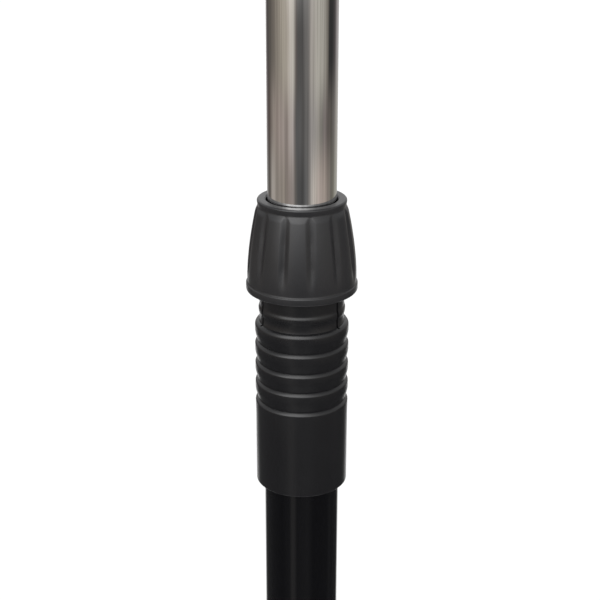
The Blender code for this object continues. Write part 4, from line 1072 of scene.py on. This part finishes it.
def bracket_rivet_places():
    across, up = [half - inset for half, inset in zip(BRACKET_HALF, BRACKET_RIVET_IN)]
    return [(-across, -up), (across, -up), (-across, up), (across, up)]


def ledge_rivet_places():
    reach = DESK_HALF - LEDGE_RIVET_IN
    return [(-reach + 2 * reach * index / (LEDGE_RIVETS - 1), -DESK_LOW + LEDGE_FLANGE / 2)
            for index in range(LEDGE_RIVETS)]


def desk_panel():
    """Slotted panel with round upper corners."""
    outside = [(-DESK_HALF, -DESK_LOW), (DESK_HALF, -DESK_LOW)]
    outside += arc((DESK_HALF - DESK_CORNER, DESK_HIGH - DESK_CORNER), DESK_CORNER, 0, 90, 24)
    outside += arc((-DESK_HALF + DESK_CORNER, DESK_HIGH - DESK_CORNER), DESK_CORNER, 90, 180, 24)
    loops = [outside] + slot_loops()
    loops += [round_loop(x, u, RIVET_R + RUN) for x, u in bracket_rivet_places() + ledge_rivet_places()]
    sheet = plate(loops, SHEET, SHEET_EDGE, Matrix.Translation((0, PANEL_BACK + SHEET / 2, 0)) @ STAND_UP)
    piece("desk_sheet", sheet, POWDER, "desk", ["desk_panel"], matrix=DESK)


def desk_ledge():
    """Folded shelf: a flange behind the panel, a floor and a turned-up lip."""
    back = PANEL_BACK - CLEAR - SHEET
    floor_top = -DESK_LOW - CLEAR
    low = floor_top - SHEET
    front = back + LEDGE_DEPTH
    bend, inside = LEDGE_BEND, LEDGE_BEND - SHEET
    section = [(back, low + LEDGE_FLANGE)]
    section += arc((back + bend, low + bend), bend, 180, 270, 8)
    section += arc((front - bend, low + bend), bend, 270, 360, 8)
    section += arc((front - SHEET / 2, low + LEDGE_LIP - SHEET / 2), SHEET / 2, 0, 180, 8)
    section += arc((front - bend, low + bend), inside, 360, 270, 5)
    section += arc((back + bend, low + bend), inside, 270, 180, 5)
    section += [(back + SHEET, low + LEDGE_FLANGE)]
    lie = Matrix.Rotation(math.pi / 2, 4, "Z") @ STAND_UP
    holes = bmesh.new()
    for x, u in ledge_rivet_places():
        add_cylinder(holes, RIVET_R + RUN, (x, back - MM, u), (x, back + SHEET + MM, u), 32)
    piece("ledge_shelf", plate([section], 2 * DESK_HALF, SHEET_EDGE, lie), POWDER, "desk", ["desk_ledge"],
          matrix=DESK, cuts=[holes])
    for index, (x, u) in enumerate(ledge_rivet_places(), 1):
        sheet_rivet(f"ledge_rivet_{index}", back, x, u)


def sheet_rivet(name, back, x, u):
    """Dome rivet through a sheet and the panel in front of it."""
    tail = back - CLEAR
    head = PANEL_FRONT + CLEAR
    dome = [(math.sin(math.radians(angle)), math.cos(math.radians(angle))) for angle in (18, 36, 54, 72, 90)]
    outline = [(0.0, head + RIVET_HEAD)] + [(RIVET_HEAD_R * r, head + RIVET_HEAD * z) for r, z in dome]
    outline += [(RIVET_R, head), (RIVET_R, tail)]
    outline += [(RIVET_TAIL_R * r, tail - RIVET_TAIL * z) for r, z in reversed(dome)]
    outline += [(0.0, tail - RIVET_TAIL)]
    piece(f"{name}_dome", turned(outline, 40), ZINC, "desk", [name],
          matrix=DESK @ pose((x, 0, u), (-math.pi / 2, 0, 0)))


def desk_bracket():
    """Pressed plate on the panel's back with two ears that straddle the head's tongue."""
    half_x, half_u = BRACKET_HALF
    back = BRACKET_FRONT - BRACKET_SHEET
    outside = []
    for x, u, start in ((half_x, -half_u, -90), (half_x, half_u, 0), (-half_x, half_u, 90),
                        (-half_x, -half_u, 180)):
        centre = (x - math.copysign(BRACKET_CORNER, x), u - math.copysign(BRACKET_CORNER, u))
        outside += arc(centre, BRACKET_CORNER, start, start + 90, 8)
    loops = [outside] + [round_loop(x, u, RIVET_R + RUN) for x, u in bracket_rivet_places()]
    base = plate(loops, BRACKET_SHEET, BRACKET_EDGE,
                 Matrix.Translation((0, BRACKET_FRONT - BRACKET_SHEET / 2, 0)) @ STAND_UP)
    ears = [tab(-back - EAR_ROOT, 0, EAR_R, across, Matrix.Rotation(-math.pi / 2, 4, "Z"))
            for across in ((EAR_IN, EAR_OUT), (-EAR_OUT, -EAR_IN))]
    hole = cylinder(BOLT_HOLE_R, (-2 * EAR_OUT, 0, 0), (2 * EAR_OUT, 0, 0))
    piece("tilt_bracket", base, POWDER, "desk", ["desk_bracket"], matrix=DESK, joins=ears,
          cuts=[hole])
    for index, (x, u) in enumerate(bracket_rivet_places(), 1):
        sheet_rivet(f"bracket_rivet_{index}", back, x, u)


# ---------------------------------------------------------------------------------------------
# The whole stand
def build():
    tube("chrome_tube", "inner_tube", INNER_R, INNER_BORE, CHROME, "column")
    tube("black_tube", "lower_tube", TUBE_R, TUBE_BORE, LACQUER, "stand_base")
    clutch_sleeve()
    clutch_knob()
    clamp_ring()
    foot_plug()
    guide_bush()
    top_insert()
    base_hub()
    leg_collar()
    lock_knob()
    for number, azimuth in enumerate(azimuths(LEG_COUNT, LEG_FIRST), 1):
        leg(number, azimuth)
        brace(number, azimuth)
    tilt_head()
    washers()
    tilt_bolt()
    tilt_knob()
    desk_panel()
    desk_ledge()
    desk_bracket()


add_camera()
add_world()
add_floor()
build()
